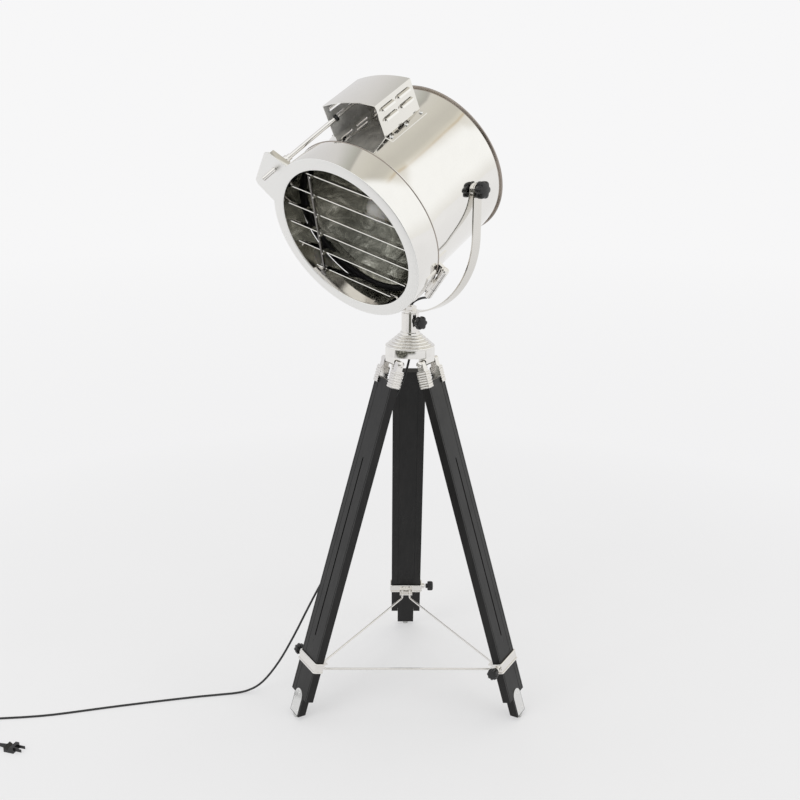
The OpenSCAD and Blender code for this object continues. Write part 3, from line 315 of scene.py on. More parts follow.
# the first row whose names fit a node gives its material
DRESS = [
    (("slide_", "side_rails"), WOOD),
    (("tilt_knob", "pan_knob", "clamp_knob", "lamp_socket", "plug"), BLACK),
    (("foot_pad",), GLIDE),
    (("strain_relief", "door_gasket", "cord_gland"), RUBBER),
    (("link_bar",), LINK),
    (("yoke_bar",), NICKEL_PAINTED_SHADE),
    (("cord_",), CORD),
    (("drum_shell", "door_ring", "shutter_ring", "vent_hood", "rear_cover", "bell"), NICKEL),
    (("reflector",), MIRROR),
    (("bulb",), BULB),
    (("foot_screws", "hood_screws", "foot_plate"), STEEL),
    (("",), NICKEL_SMALL)]
for node, o in NODES.items():
    o.data.materials.clear()
    o.data.materials.append(next(mat for names, mat in DRESS if node.startswith(names)))

# the inside of the hood is satin, and the guide stud in each leg is black
HOOD_IN, HOOD_TOP = 0.0692, 0.2165
STUD_Z = 0.15
hood = NODES["vent_hood"]
hood.data.materials.append(SATIN)
for face in hood.data.polygons:
    centre = hood.matrix_world @ face.center - HEAD
    normal = (hood.matrix_world.to_3x3() @ face.normal).normalized()
    across, over = centre.dot(NN), centre.dot(UP)
    inward = normal.dot(NN) * (-1 if across > 0 else 1) > 0.3 or normal.dot(UP) < -0.3
    if inward and (abs(across) < HOOD_IN or over > HOOD_TOP):
        face.material_index = 1
for leg in LEGS:
    screws = NODES["foot_screws_" + leg]
    screws.data.materials.append(BLACK)
    for face in screws.data.polygons:
        if (screws.matrix_world @ face.center).z > STUD_Z:
            face.material_index = 1


# ---- the free cord: one line from the bell to the plug, its points in millimetres ----
def smooth_spline(q, k):
    out = [q[0]]
    for i in range(1, len(q) - 2):
        a, b, c, d = q[i - 1], q[i], q[i + 1], q[i + 2]
        for j in range(k):
            u = j / k
            square = (2 * a - 5 * b + 4 * c - d) * u * u
            cube = (3 * b - a - 3 * c + d) * u * u * u
            out.append(0.5 * ((2 * b) + (c - a) * u + square + cube))
    return out + [q[-2], q[-1]]


ON_FLOOR = 2.6
ROUTE = [(0, 0, 816.9), (-0.3, 0.3, 812), (-2, 2, 791), (-16, 6, 740), (-44, 12, 680), (-66, 15, 620),
    (-78, 14, 560), (-92, 10, 480), (-120, 2, 400), (-158, -8, 330), (-198, -18, 270), (-232, -25, 205),
    (-264, -31, 140), (-300, -39, 76), (-338, -47, 28), (-372, -53, 8), (-410, -59, ON_FLOOR),
    (-450, -66, ON_FLOOR), (-494, -74, ON_FLOOR), (-590, -95, ON_FLOOR), (-683, -117, ON_FLOOR),
    (-798, -146, ON_FLOOR), (-870, -157, ON_FLOOR), (-913, -161, ON_FLOOR)]
TO_COIL = [(-925, -161.1, ON_FLOOR), (-940, -161.2, ON_FLOOR)]
TO_PLUG = [(12, -1, 0), (24, -3, -1.2), (36, -6, -3), (48, -10, -3.2), (62, -15, -1.9), (72, -18.1, -1.3),
    (78, -20, -1.3)]
TURNS, TURN_PITCH, LIFT, COIL_MID = 4, 6.6, 5.7, 28
COIL_OUT = COIL_MID + TURN_PITCH * TURNS / 2
COIL_IN = COIL_OUT - TURN_PITCH * TURNS
COIL_AT = Vector((-955, -161 - COIL_OUT, ON_FLOOR))
COIL_END = 720 * TURNS + 180


def coil_point(a):
    # inward on the floor, up over half a turn, and outward on top
    first = 360 * TURNS
    if a < first:
        r, z = COIL_OUT - TURN_PITCH * a / 360, 0
    elif a < first + 180:
        r, z = COIL_IN, LIFT * (1 - math.cos(math.radians(a - first))) / 2
    else:
        r, z = COIL_IN + TURN_PITCH * (a - first - 180) / 360, LIFT
    t = math.radians(a)
    return COIL_AT + Vector((-r * math.sin(t), r * math.cos(t), z))


def floor_cord():
    low = [Vector(p) / 1000 for p in ROUTE]
    line = [low[0]] + smooth_spline(low, 4)[1:]
    line = [Vector((p.x, p.y, max(p.z, CORD_R + 0.0001))) for p in line]
    coil = [Vector(p) for p in TO_COIL]
    coil += [coil_point(a) for a in range(0, COIL_END + 1, 15)]
    coil += [coil_point(COIL_END) + Vector(d) for d in TO_PLUG]
    points = [p + SHIFT for p in line + [p / 1000 for p in coil]]
    curve = bpy.data.curves.new("floor_cord", "CURVE")
    curve.dimensions, curve.use_fill_caps = "3D", True
    curve.bevel_depth, curve.bevel_resolution = CORD_R, 5
    spline = curve.splines.new("POLY")
    spline.points.add(len(points) - 1)
    for i, p in enumerate(points):
        spline.points[i].co = (*p, 1)
    curve.materials.append(CORD)
    cord = bpy.data.objects.new("floor_cord", curve)
    bpy.context.collection.objects.link(cord)
    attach(cord, "tripod")
    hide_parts("cord_lower", "cord_coil")
    length = sum((b - a).length for a, b in zip(points, points[1:]))
    tuple(points[0])
    print("cord length", round(length, 3))


floor_cord()


# ---- mesh helpers: each shape is its vertices in metres and its faces ----
def put(name, shape, mats, body, replaces=(), sharp=35):
    # a piece with no body is left unattached
    me = bpy.data.meshes.new(name)
    me.from_pydata([tuple(v) for v in shape[0]], [], shape[1])
    me.validate()
    bm = bmesh.new()
    bm.from_mesh(me)
    bmesh.ops.recalc_face_normals(bm, faces=bm.faces)
    bm.to_mesh(me)
    bm.free()
    me.polygons.foreach_set("use_smooth", [True] * len(me.polygons))
    me.set_sharp_from_angle(angle=math.radians(sharp))
    for m in mats:
        me.materials.append(m)
    o = bpy.data.objects.new(name, me)
    bpy.context.collection.objects.link(o)
    if body:
        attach(o, body)
    if replaces:
        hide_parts(*replaces)
    return o


def mark_front(o, height):
    # the faces past this height along the drum take the second material
    to_drum = DRUM.inverted()
    for face in o.data.polygons:
        if (to_drum @ face.center).z > height / 1000:
            face.material_index = 1


def circle(r, n):
    return [(r * math.cos(2 * math.pi * i / n), r * math.sin(2 * math.pi * i / n)) for i in range(n)]


def fillet(pts, radii, n=4):
    # round the corners of a closed outline; a radius of 0 keeps the corner
    out = []
    for i, r in enumerate(radii):
        p, a, b = Vector(pts[i]), Vector(pts[i - 1]), Vector(pts[(i + 1) % len(pts)])
        if r <= 0:
            out.append((p.x, p.y))
            continue
        u, v = (a - p).normalized(), (b - p).normalized()
        half = math.acos(max(-1, min(1, u.dot(v)))) / 2
        cut = min(r / math.tan(half), (a - p).length * 0.49, (b - p).length * 0.49)
        fit = cut * math.tan(half)
        c = p + (u + v).normalized() * (fit / math.sin(half))
        start, end = p + u * cut - c, p + v * cut - c
        a0, a1 = math.atan2(start.y, start.x), math.atan2(end.y, end.x)
        turn = (a1 - a0 + math.pi) % (2 * math.pi) - math.pi
        for j in range(n + 1):
            t = a0 + turn * j / n
            out.append((c.x + fit * math.cos(t), c.y + fit * math.sin(t)))
    return out


def revolve(profile, segs, m, closed=True):
    # a profile of (radius, height) turned about the frame's z
    verts, faces = [], []
    k = len(profile)
    for i in range(segs):
        a = 2 * math.pi * i / segs
        for r, z in profile:
            verts.append(m @ Vector((r / 1000 * math.cos(a), r / 1000 * math.sin(a), z / 1000)))
    for i in range(segs):
        j = (i + 1) % segs
        for q in range(k if closed else k - 1):
            nxt = (q + 1) % k
            faces.append((i * k + q, j * k + q, j * k + nxt, i * k + nxt))
    return verts, faces


def torus(s, major, minor, segs, sides=16):
    # a ring round the drum at s millimetres along it
    profile = [(major + x, y) for x, y in circle(minor, sides)]
    return revolve(profile, segs, DRUM @ Matrix.Translation((0, 0, s / 1000)))


def join(parts):
    verts, faces = [], []
    for v, f in parts:
        o = len(verts)
        verts += v
        faces += [tuple(i + o for i in t) for t in f]
    return verts, faces


def lobed(m, layers, lobes, depth, segs=120):
    # layers of (height, radius, lobe share), from one pole to the other
    verts, faces, rings = [], [], []
    for z, r, share in layers:
        count = segs if r else 1
        rings.append(list(range(len(verts), len(verts) + count)))
        for i in range(count):
            a = 2 * math.pi * i / segs
            hollow = 0.5 - 0.5 * math.cos(lobes * a)
            rr = (r - share * depth * hollow ** 1.6) / 1000
            verts.append(m @ Vector((rr * math.cos(a), rr * math.sin(a), z / 1000)))
    for a, b in zip(rings, rings[1:]):
        for i in range(segs):
            j = (i + 1) % segs
            if len(a) == 1:
                faces.append((a[0], b[j], b[i]))
            elif len(b) == 1:
                faces.append((a[i], a[j], b[0]))
            else:
                faces.append((a[i], a[j], b[j], b[i]))
    return verts, faces


def from_bmesh(bm, m):
    verts = [m @ v.co for v in bm.verts]
    bm.verts.index_update()
    faces = [tuple(v.index for v in f.verts) for f in bm.faces]
    bm.free()
    return verts, faces


def slab(m, size, bevel=0.0006):
    # a bevelled plate, centred, sizes in metres
    bm = bmesh.new()
    bmesh.ops.create_cube(bm, size=1)
    bmesh.ops.scale(bm, vec=size, verts=bm.verts)
    bmesh.ops.bevel(bm, geom=bm.edges[:], offset=bevel, segments=3, profile=0.5, affect="EDGES")
    return from_bmesh(bm, m)


def sweep(path, r, sides=12):
    # a round bar along points in metres
    verts, faces = [], []
    t = (path[1] - path[0]).normalized()
    x = t.orthogonal().normalized()
    for i, p in enumerate(path):
        t = (path[min(i + 1, len(path) - 1)] - path[max(i - 1, 0)]).normalized()
        x = (x - t * x.dot(t)).normalized()
        y = t.cross(x)
        verts += [p + x * a + y * b for a, b in circle(r, sides)]
    last = len(path) - 1
    for i in range(last):
        for j in range(sides):
            k = (j + 1) % sides
            faces.append((i * sides + j, i * sides + k, (i + 1) * sides + k, (i + 1) * sides + j))
    faces += [tuple(reversed(range(sides))), tuple(range(last * sides, (last + 1) * sides))]
    return verts, faces


def rounded(pts, r, n=6):
    # an open path with its inner corners rounded
    out = [pts[0]]
    for a, p, b in zip(pts, pts[1:], pts[2:]):
        u, v = (a - p).normalized(), (b - p).normalized()
        for j in range(n + 1):
            t = j / n
            out.append(p + u * r * (1 - t) ** 2 + v * r * t ** 2)
    return out + [pts[-1]]


# ---- drum shell: one spun surface with its front flange, and the wire bead ----
def divided(outline, step):
    # long straight runs cut into shorter ones
    out = []
    for i, p in enumerate(outline):
        q = outline[(i + 1) % len(outline)]
        n = max(1, int(math.dist(p, q) / step))
        out += [(p[0] + (q[0] - p[0]) * j / n, p[1] + (q[1] - p[1]) * j / n) for j in range(n)]
    return out


BEAD_R = 2.4
bore_r = DRUM_R - DRUM_WALL
shell = fillet([(bore_r, DRUM_BACK), (DRUM_R, DRUM_BACK), (DRUM_R, FLANGE_BACK), (FLANGE_R, FLANGE_BACK),
    (FLANGE_R, DRUM_FRONT), (bore_r, DRUM_FRONT)], [0.3, 0.3, 1.6, 1.6, 1.6, 0.4], 5)
skin = revolve(divided(shell, 30), 256, DRUM)
skin = put("drum_skin", skin, [NICKEL, DARK_BEAD_AND_GROOVE_SHADE], "drum", ["drum_shell"])
# the flange's front face, seen in the gap behind the door, takes the dark material as painted shade in the
# groove
mark_front(skin, DRUM_FRONT - 0.4)
put("drum_bead", torus(DRUM_BACK, DRUM_R + 1.4, BEAD_R, 200), [DARK_BEAD_AND_GROOVE_SHADE], "drum")

# ---- rear cover: a spun dish with two raised steps ----
cover = [(0, -97.5), (68, -97.5), (70, -96.5), (71.5, -93), (73, -91.4), (108, -91), (110, -90),
    (111.5, -86.8), (114, -86), (150, -85.4), (165.5, -85.2), (166.2, -84.4), (166.2, -72), (164.6, -72),
    (164.4, -83), (150, -83.2), (114, -84), (109, -88.6), (73, -89.2), (68, -95.6), (0, -95.8)]
put("rear_dish", revolve(cover, 192, DRUM, closed=False), [NICKEL], "drum", ["rear_cover"])

# ---- door: the rim with its flat face and lip, a bead behind it, and the ear ----
PLATE = 2
bore_r, behind_face, lip_end = DOOR_R - DOOR_WALL, DOOR_FRONT - PLATE, DOOR_FRONT - LIP
rim = fillet([(DOOR_R, DOOR_BACK), (DOOR_R, DOOR_FRONT), (OPENING_R, DOOR_FRONT), (OPENING_R, lip_end),
    (OPENING_R + LIP_WALL, lip_end), (OPENING_R + LIP_WALL, behind_face), (bore_r, behind_face),
    (bore_r, DOOR_BACK + 3), (DOOR_R - 3, DOOR_BACK + 3), (DOOR_R - 3, DOOR_BACK)],
    [0.6, 0.9, 1.4, 0.3, 0.3, 0.3, 0.6, 0.6, 0.3, 0.6], 5)
rim = put("door_rim", revolve(rim, 256, DRUM), [NICKEL, FACE], "door", ["door_ring"])
mark_front(rim, DOOR_FRONT - 0.8)
# the bead at the door's back edge takes the dark material as painted shade in the groove
put("door_bead", torus(DOOR_BACK + 1.2, DOOR_R - 0.4, 1.35, 220, 12), [DARK_BEAD_AND_GROOVE_SHADE], "door")

EAR = DRUM @ Matrix.Rotation(math.radians(45), 4, "Z")
EAR_FOOT, EAR_REACH, EAR_WIDE, EAR_TIP, EAR_CORNER = 166.4, 224.0, 116.0, 103.0, 8
EAR_BACK, EAR_FRONT = 221.2, 223.15
EAR_HOLE, EAR_HOLE_R = EAR.inverted() @ head(0.2222, -0.1216, 0.1508) * 1000, 5.9
FOLD_SIZE, FOLD_FOOT = Vector((0.0016, 0.0448, 0.0125)), Vector((0.0571, 0.1696, 0.2165))


def ear():
    # in the ear's own frame: x across it, y outward, z to the front
    w, t, corner = EAR_WIDE / 2, EAR_TIP / 2, EAR_REACH - EAR_CORNER
    outline = fillet([(-w, EAR_FOOT), (w, EAR_FOOT), (t, corner), (t - EAR_CORNER, EAR_REACH),
        (-t + EAR_CORNER, EAR_REACH), (-t, corner)], [0, 0, 3, 5, 5, 3], 5)
    hole = [(x + EAR_HOLE.x, y + EAR_HOLE.y) for x, y in circle(EAR_HOLE_R, 32)]
    bm = bmesh.new()
    levels = []
    for z in (EAR_BACK, EAR_FRONT):
        loops, edges = [], []
        for line in (outline, hole):
            loop = [bm.verts.new((x / 1000, y / 1000, z / 1000)) for x, y in line]
            edges += [bm.edges.new((a, b)) for a, b in zip(loop, loop[1:] + loop[:1])]
            loops.append(loop)
        bmesh.ops.triangle_fill(bm, edges=edges, use_beauty=True)
        levels.append(loops)
    for p, q in zip(*levels):
        for i in range(len(p)):
            j = (i + 1) % len(p)
            bm.faces.new((p[i], p[j], q[j], q[i]))
    return from_bmesh(bm, EAR)


def ear_fold(side):
    # a folded edge that follows the slanting side of the ear
    slant = math.atan((EAR_WIDE - EAR_TIP) / 2 / (EAR_REACH - EAR_CORNER - EAR_FOOT))
    at = Matrix.Translation((side * FOLD_FOOT.x, FOLD_FOOT.y, FOLD_FOOT.z))
    m = EAR @ at @ Matrix.Rotation(side * slant, 4, "Z") @ Matrix.Translation((0, FOLD_SIZE.y / 2, 0))
    return slab(m, FOLD_SIZE)


put("ear_plate", ear(), [FACE], "door", sharp=30)

# ---- latch rod: stepped bar from the ear to the hood, with a black ring ----
ROD_A, ROD_B = head(0.223, -0.1221, 0.1508), head(0.0793, -0.053, 0.1893)
ROD_M = axis_m(ROD_A, (ROD_A - ROD_B).normalized())
bar = [(0, 28), (3.9, 28), (4.9, 27), (4.9, -24), (4.75, -24), (4.75, -29), (8.2, -29.4), (8.6, -30.4),
    (8.6, -35), (8.2, -36), (6.4, -36.4), (6.4, -43), (4.75, -43.6), (4.75, -156), (3, -157), (3, -221),
    (2.6, -222), (0, -222)]
put("latch_bar", revolve(bar, 48, ROD_M, closed=False), [NICKEL_SMALL], "latch_rod", ["latch_rod"])
collar = fillet([(4.7, -164), (7, -164), (7, -157), (4.7, -157)], [0, 0.8, 0.8, 0], 3)
put("latch_ring", revolve(collar, 48, ROD_M), [BLACK], "latch_rod")
# the folded edges of the ear take the darker nickel as painted shade
put("ear_folds", join([ear_fold(-1), ear_fold(1)]), [NICKEL_PAINTED_SHADE], "door", sharp=30)

# ---- bell: five rounded ridges, a skirt, and the three leg lugs ----
BELL_TOP, NECK_R, NECK_H = 857, 22, 5
RIDGES, RIDGE_DROP, RIDGE_STEP = 5, 5.6, 6.4
RIDGE_SHAPE = ((-6.1, 0.1), (-3.0, -0.5), (-1.0, -1.3), (-0.1, -2.5), (0, -3.6), (-0.5, -4.8), (-1.3, -5.5))
SKIRT_Z = 807
LUG_R, LUG_TOP, LUG_HALF = 7, 823, 0.0192


def ridge_r(i):
    return NECK_R + (i + 1) * RIDGE_STEP


def ridge_z(i):
    return BELL_TOP - NECK_H - i * RIDGE_DROP


def bell_profile():
    out = [(19.05, BELL_TOP), (21.2, BELL_TOP), (NECK_R, BELL_TOP - 1), (NECK_R, BELL_TOP - NECK_H)]
    for i in range(RIDGES):
        out += [(ridge_r(i) + r, ridge_z(i) + z) for r, z in RIDGE_SHAPE]
    r, z = ridge_r(RIDGES - 1), ridge_z(RIDGES)
    out += [(r - 1.4, z - 0.6), (r - 1.2, SKIRT_Z + 1), (r - 1.7, SKIRT_Z), (r - 2.9, SKIRT_Z),
        (r - 3.4, SKIRT_Z + 1), (r - 3.4, z + 2)]
    for i in range(RIDGES - 1, 0, -1):
        out += [(ridge_r(i - 1) + 2.0, ridge_z(i) - 3.0), (ridge_r(i - 1) - 3.2, ridge_z(i) - 1.2)]
    return out + [(20, 843), (6.6, 843), (6.6, 847), (19.05, 847)]


def lug(az):
    # an upright block whose foot is round about the bolt
    out, side = compass(az)
    p = leg_m(az) @ Vector((LEG_MID, 0, BOLT_H))
    bolt_z = p.z * 1000
    arc = [math.pi * j / 16 for j in range(1, 16)]
    pts = [(-LUG_R, LUG_TOP), (-LUG_R, bolt_z)]
    pts += [(-LUG_R * math.cos(a), bolt_z - LUG_R * math.sin(a)) for a in arc]
    pts += [(LUG_R, bolt_z), (LUG_R, LUG_TOP)]
    verts = []
    for y in (-LUG_HALF, LUG_HALF):
        verts += [Vector((p.x, p.y, 0)) + out * (x / 1000) + side * y + Z_UP * (z / 1000) for x, z in pts]
    k = len(pts)
    faces = [tuple(range(k)), tuple(range(2 * k - 1, k - 1, -1))]
    faces += [(i, (i + 1) % k, k + (i + 1) % k, k + i) for i in range(k)]
    return verts, faces


bell = [revolve(bell_profile(), 160, COLUMN)] + [lug(az) for az in LEGS.values()]
put("bell_cap", join(bell), [NICKEL], "tripod", ["bell"], sharp=38)


# ---- knobs: a lobed grip on a hub, and the bare stud between it and the lamp ----
def grip(name, node, m, body, size, lobes, depth, hub, dome):
    r, h = size[0] / 2, size[1]
    hub_r, hub_h = hub[0] / 2, hub[1]
    layers = [(-hub_h, 0, 0), (-hub_h, hub_r - 0.6, 0), (-hub_h + 0.6, hub_r, 0), (-0.6, hub_r, 0),
        (0.0, r * 0.62, 0.3), (0.1, r * 0.86, 0.8), (0.8, r * 0.95, 1), (2.4, r * 0.995, 1), (h * 0.5, r, 1),
        (h - 3.6, r * 0.985, 1), (h - 1.6, r * 0.94, 1), (h - 0.5, r * 0.86, 0.85), (h - 0.1, r * 0.76, 0.4),
        (h + 0.3, r * 0.66, 0), (h + dome * 0.6, r * 0.45, 0), (h + dome * 0.9, r * 0.22, 0),
        (h + dome, 0, 0)]
    put(name, lobed(m, layers, lobes, depth), [BLACK], body, [node], sharp=60)


def stud(name, body, p, q, r, bevel, segs):
    # a pin between two points, its radius and bevel in millimetres
    z = (q - p).normalized()
    x = z.orthogonal().normalized()
    h = (q - p).length * 1000
    layers = [(0, 0, 0), (0, r - bevel, 0), (bevel, r, 0), (h - bevel, r, 0), (h, r - bevel, 0), (h, 0, 0)]
    put(name, lobed(basis(p, x, z.cross(x), z), layers, 1, 0, segs), [STEEL], body)


for name, side in (("near", 1), ("far", -1)):
    out, body = NN * side, "tilt_screw_" + name
    m = axis_m(PIVOT + out * 0.178, out)
    grip("tilt_grip_" + name, "tilt_knob_" + name, m, body, (37, 15), 6, 3.4, (18, 3.5), 1.6)
    stud("tilt_stud_" + name, body, PIVOT + out * 0.154, PIVOT + out * 0.1745, 4, 0.4, 32)
PAN_AT, PAN_OUT = SHIFT + Z_UP * 0.8805, compass(-50)[0]
grip("pan_grip", "pan_knob", axis_m(PAN_AT + PAN_OUT * 0.028, PAN_OUT), "pan_screw", (30, 13), 6, 3.0,
    (12, 0.5), 1.6)
stud("pan_stud", "pan_screw", PAN_AT + PAN_OUT * 0.0126, PAN_AT + PAN_OUT * 0.0278, 4, 0.3, 32)
for leg, az in LEGS.items():
    lm = leg_m(az)
    body = "clamp_screw_" + leg
    at, start, end = [lm @ Vector((LEG_MID, y, CLAMP_H)) for y in (-0.056, -0.0396, -0.0515)]
    m = axis_m(at, -(lm.to_3x3() @ Vector((0, 1, 0))))
    grip("clamp_grip_" + leg, "clamp_knob_" + leg, m, body, (25, 14), 8, 2.2, (12, 4.8), 0.4)
    stud("clamp_stud_" + leg, body, start, end, 3, 0.3, 24)

# ---- reflector: a parabola between the bulb's hole and the rim that holds it ----
DISH_IN, DISH_OUT, DISH_BACK, DISH_WALL, DISH_STEPS = 24, 154.5, 31, 1.2, 48
dish_r = [DISH_IN + (DISH_OUT - DISH_IN) * i / DISH_STEPS for i in range(DISH_STEPS + 1)]
dish = [(r, DISH_BACK + r * r / 240) for r in dish_r]
inner = [(r, s - DISH_WALL) for r, s in reversed(dish)]
edge = [(INSIDE_R, dish[-1][1]), (INSIDE_R, dish[-1][1] - DISH_WALL)]
put("mirror_dish", revolve(dish + edge + inner, 192, DRUM), [MIRROR], "drum", ["reflector"])

# ---- bulb: globe, neck and screw cap ----
GLOBE_R, GLOBE_S = 30, 102
globe = [(0, GLOBE_S + GLOBE_R)]
for j in range(1, 25):
    t = math.radians(90 - j * 5.6)
    globe.append((GLOBE_R * math.cos(t), GLOBE_S + GLOBE_R * math.sin(t)))
globe += [(24.8, 84.6), (21.5, 77), (18.6, 71), (16.2, 66), (14.2, 66.2)]
put("bulb_globe", revolve(globe, 96, DRUM, closed=False), [BULB], "drum", ["bulb"])
cap = [(0, 66.4), (13.6, 66.4), (13.9, 65)]
for k in range(6):
    cap += [(12.5, 63 - k * 3), (12.9, 62 - k * 3)]
cap += [(12.6, 44), (0, 44)]
put("bulb_cap", revolve(cap, 64, DRUM, closed=False), [STEEL], "drum")

# ---- gasket: black rubber inside the drum, widened past it into a black ring that fills the groove between the shell flange and the door as painted shade ----
SEAL_IN, GROOVE_SHADE_OUT = 154.5, 175.6
seal = fillet([(SEAL_IN, 149), (INSIDE_R, 149), (INSIDE_R, 153.2), (GROOVE_SHADE_OUT, 153.2), (GROOVE_SHADE_OUT, 155.8),
    (SEAL_IN, 155.8)], [0.3] * 6, 2)
put("door_seal_and_groove_shade", revolve(seal, 192, DRUM), [RUBBER], "drum", ["door_gasket"])

# ---- upper cord: from the gland into the stem ----
GLAND_S, GLAND_A = 0.118, math.radians(-72)
YOKE_FOOT = SHIFT + Z_UP * 0.90465
STEM_END = SHIFT + Z_UP * 0.851


def gland(r):
    return head(GLAND_S, r * math.cos(GLAND_A), r * math.sin(GLAND_A))


SPAN = gland(0.196) - YOKE_FOOT
# shares of the way from the foot of the yoke to the gland
HANG = ((1.14, 0.877, 0.797), (1.095, 0.68, 0.675), (0.857, 0.465, 0.614), (0.54, 0.268, 0.513),
    (0.206, 0.098, 0.351), (0.051, 0.023, 0.169), (0.006, 0.004, -0.054), (0, 0, -0.317))
route = [gland(0.172), gland(0.184), gland(0.196)]
route += [YOKE_FOOT + Vector((a * SPAN.x, b * SPAN.y, c * SPAN.z)) for a, b, c in HANG] + [STEM_END]
upper = [gland(0.160)] + smooth_spline(route, 8)
upper_cord = put("drum_cord", sweep(upper, CORD_R, 16), [CORD], None, ["cord_upper"])
tuple(gland(0.186))
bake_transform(upper_cord)

# ---- ferrule rings: rounded bands that wrap the top of each rail ----
RAIL_WIDE, RAIL_MID, BAND_WALL = 0.016, 0.029, 0.0014
RAIL_END, BAND_R, BAND_LOW, BAND_PITCH, BANDS = 0.794, 0.0021, 0.0095, 0.0052, 7


def ferrule_rings(lm, side):
    y0, y1 = RAIL_MID - RAIL_WIDE / 2, RAIL_MID + RAIL_WIDE / 2 + BAND_WALL
    corners = [(-LEG_THICK - BAND_WALL, y0), (-LEG_THICK - BAND_WALL, y1), (BAND_WALL, y1), (BAND_WALL, y0)]
    for k in range(BANDS):
        h = RAIL_END - BAND_LOW + k * BAND_PITCH
        path = [lm @ Vector((x, side * y, h)) for x, y in corners]
        yield sweep(rounded(path, 0.003), BAND_R)


for leg, az in LEGS.items():
    rings = [ring for side in (-1, 1) for ring in ferrule_rings(leg_m(az), side)]
    put("ferrule_rings_" + leg, join(rings), [NICKEL_SMALL], "tripod", sharp=50)

# ---- clamp rims: rolled edges above and below each band ----
CLAMP_WALL, CLAMP_HALF, RIM_R = 0.002, 0.0095, 0.0022


def clamp_rim(lm, h):
    x0, x1, y1 = -LEG_THICK - CLAMP_WALL, CLAMP_WALL, LEG_WIDE / 2 + CLAMP_WALL
    loop = [(x1, 0), (x1, y1), (x0, y1), (x0, -y1), (x1, -y1), (x1, 0)]
    return sweep(rounded([lm @ Vector((x, y, h)) for x, y in loop], 0.003), RIM_R)


for leg, az in LEGS.items():
    rims = [clamp_rim(leg_m(az), CLAMP_H + dh) for dh in (-CLAMP_HALF, CLAMP_HALF)]
    put("clamp_rims_" + leg, join(rims), [NICKEL_SMALL], "tripod", sharp=50)

# ---- brace rods: straight runs below the eye plates, their ends bent up through the eyes ----
EYE_R, EYE_SIDE, BRACE_Z, EYE_TOP, BRACE_R = 0.226, 0.009, 0.105, 0.127, 0.0025


def eye(az, side):
    out, across = compass(az)
    return SHIFT + out * EYE_R + across * side * EYE_SIDE


braces = []
angles = list(LEGS.values())
for a, b in zip(angles, angles[1:] + angles[:1]):
    p, q = eye(a, 1), eye(b, -1)
    run = [p + Z_UP * EYE_TOP, p + Z_UP * BRACE_Z, q + Z_UP * BRACE_Z, q + Z_UP * EYE_TOP]
    braces.append(sweep(rounded(run, 0.008, 8), BRACE_R, 16))
put("brace_bars", join(braces), [NICKEL_SMALL], "tripod", ["brace_rods"], sharp=50)


# ---- edges that catch light: bevels on carried-over parts ----
def soften(nodes, width):
    for node in nodes:
        b = NODES[node].modifiers.new("edge", "BEVEL")
        b.width, b.segments = width, 2
        b.limit_method, b.angle_limit = "ANGLE", math.radians(32)
        b.harden_normals = True
        b.use_clamp_overlap = True


soften(("side_rails", "slide_rear", "slide_left", "slide_right"), 0.0009)
soften(("ferrules", "leg_clamps", "vent_hood", "drum_hinge_leaf", "door_hinge_leaf", "yoke_bar", "yoke_nut",
    "foot_plate_rear", "foot_plate_left", "foot_plate_right"), 0.0004)


# ---- floor ----
def vector_length(nt, operation, vec, to=None):
    n = nt.nodes.new("ShaderNodeVectorMath")
    n.operation = operation
    nt.links.new(vec, n.inputs[0])
    if to:
        n.inputs[1].default_value = to
    return n.outputs["Value"]


def emission(nt, colour):
    n = nt.nodes.new("ShaderNodeEmission")
    nt.links.new(colour, n.inputs["Color"])
    return n.outputs[0]


def floor_material():
    m, nt, b = new_mat("floor_pale")
    v = coords(nt)
    pale = [(0.3, (0.86, 0.86, 0.865)), (0.7, (0.88, 0.88, 0.885))]
    nt.links.new(ramp(nt, noise(nt, v, 3, 3, 0.5), pale), b.inputs["Base Color"])
    b.inputs["Roughness"].default_value = 0.6
    b.inputs["Specular IOR Level"].default_value = 0.2
    seen = nt.nodes.new("ShaderNodeLightPath")
    # seen directly or in the polished metal, the floor runs out into the white backdrop
    away = vector_length(nt, "LENGTH", v)
    white = [(0.0, (0.85, 0.848, 0.855)), (0.22, (0.885, 0.883, 0.888)), (1.0, (0.93, 0.928, 0.932))]
    glow = emission(nt, ramp(nt, to_range(nt, away, 0.0, 1.0, 0.4, 8.0), white))
    either = maths(nt, "MAXIMUM", seen.outputs["Is Camera Ray"], seen.outputs["Is Glossy Ray"])
    share = maths(nt, "MULTIPLY", to_range(nt, away, 0.52, 1.0, 0.30, 2.0), either)
    faded = mix_shader(nt, share, b.outputs[0], glow)
    # where the head looks, the polished metal mirrors a dim room
    tones = [(0.36, (0.02, 0.02, 0.017)), (0.52, (0.10, 0.10, 0.085)), (0.62, (0.30, 0.30, 0.26)),
        (0.70, (0.75, 0.75, 0.70))]
    dim = emission(nt, ramp(nt, noise(nt, v, 1.6, 6, 0.7, 1.5), tones))
    near = to_range(nt, vector_length(nt, "DISTANCE", v, (-1.55, -1.75, 0)), 1.0, 0.0, 1.15, 1.5)
    place = nt.nodes.new("ShaderNodeSeparateXYZ")
    nt.links.new(v, place.inputs[0])
    x, y = place.outputs["X"], place.outputs["Y"]
    ahead = to_range(nt, y, 1.0, 0.0, -1.9, -1.4)
    left, right = to_range(nt, x, 0.0, 1.0, -1.6, -1.2), to_range(nt, x, 1.0, 0.0, 0.7, 1.1)
    between = maths(nt, "MULTIPLY", left, right)
    region = maths(nt, "MAXIMUM", near, maths(nt, "MULTIPLY", ahead, between))
    dim_share = maths(nt, "MULTIPLY", region, seen.outputs["Is Glossy Ray"])
    nt.links.new(mix_shader(nt, dim_share, faded, dim), nt.nodes["Material Output"].inputs[0])
    return m


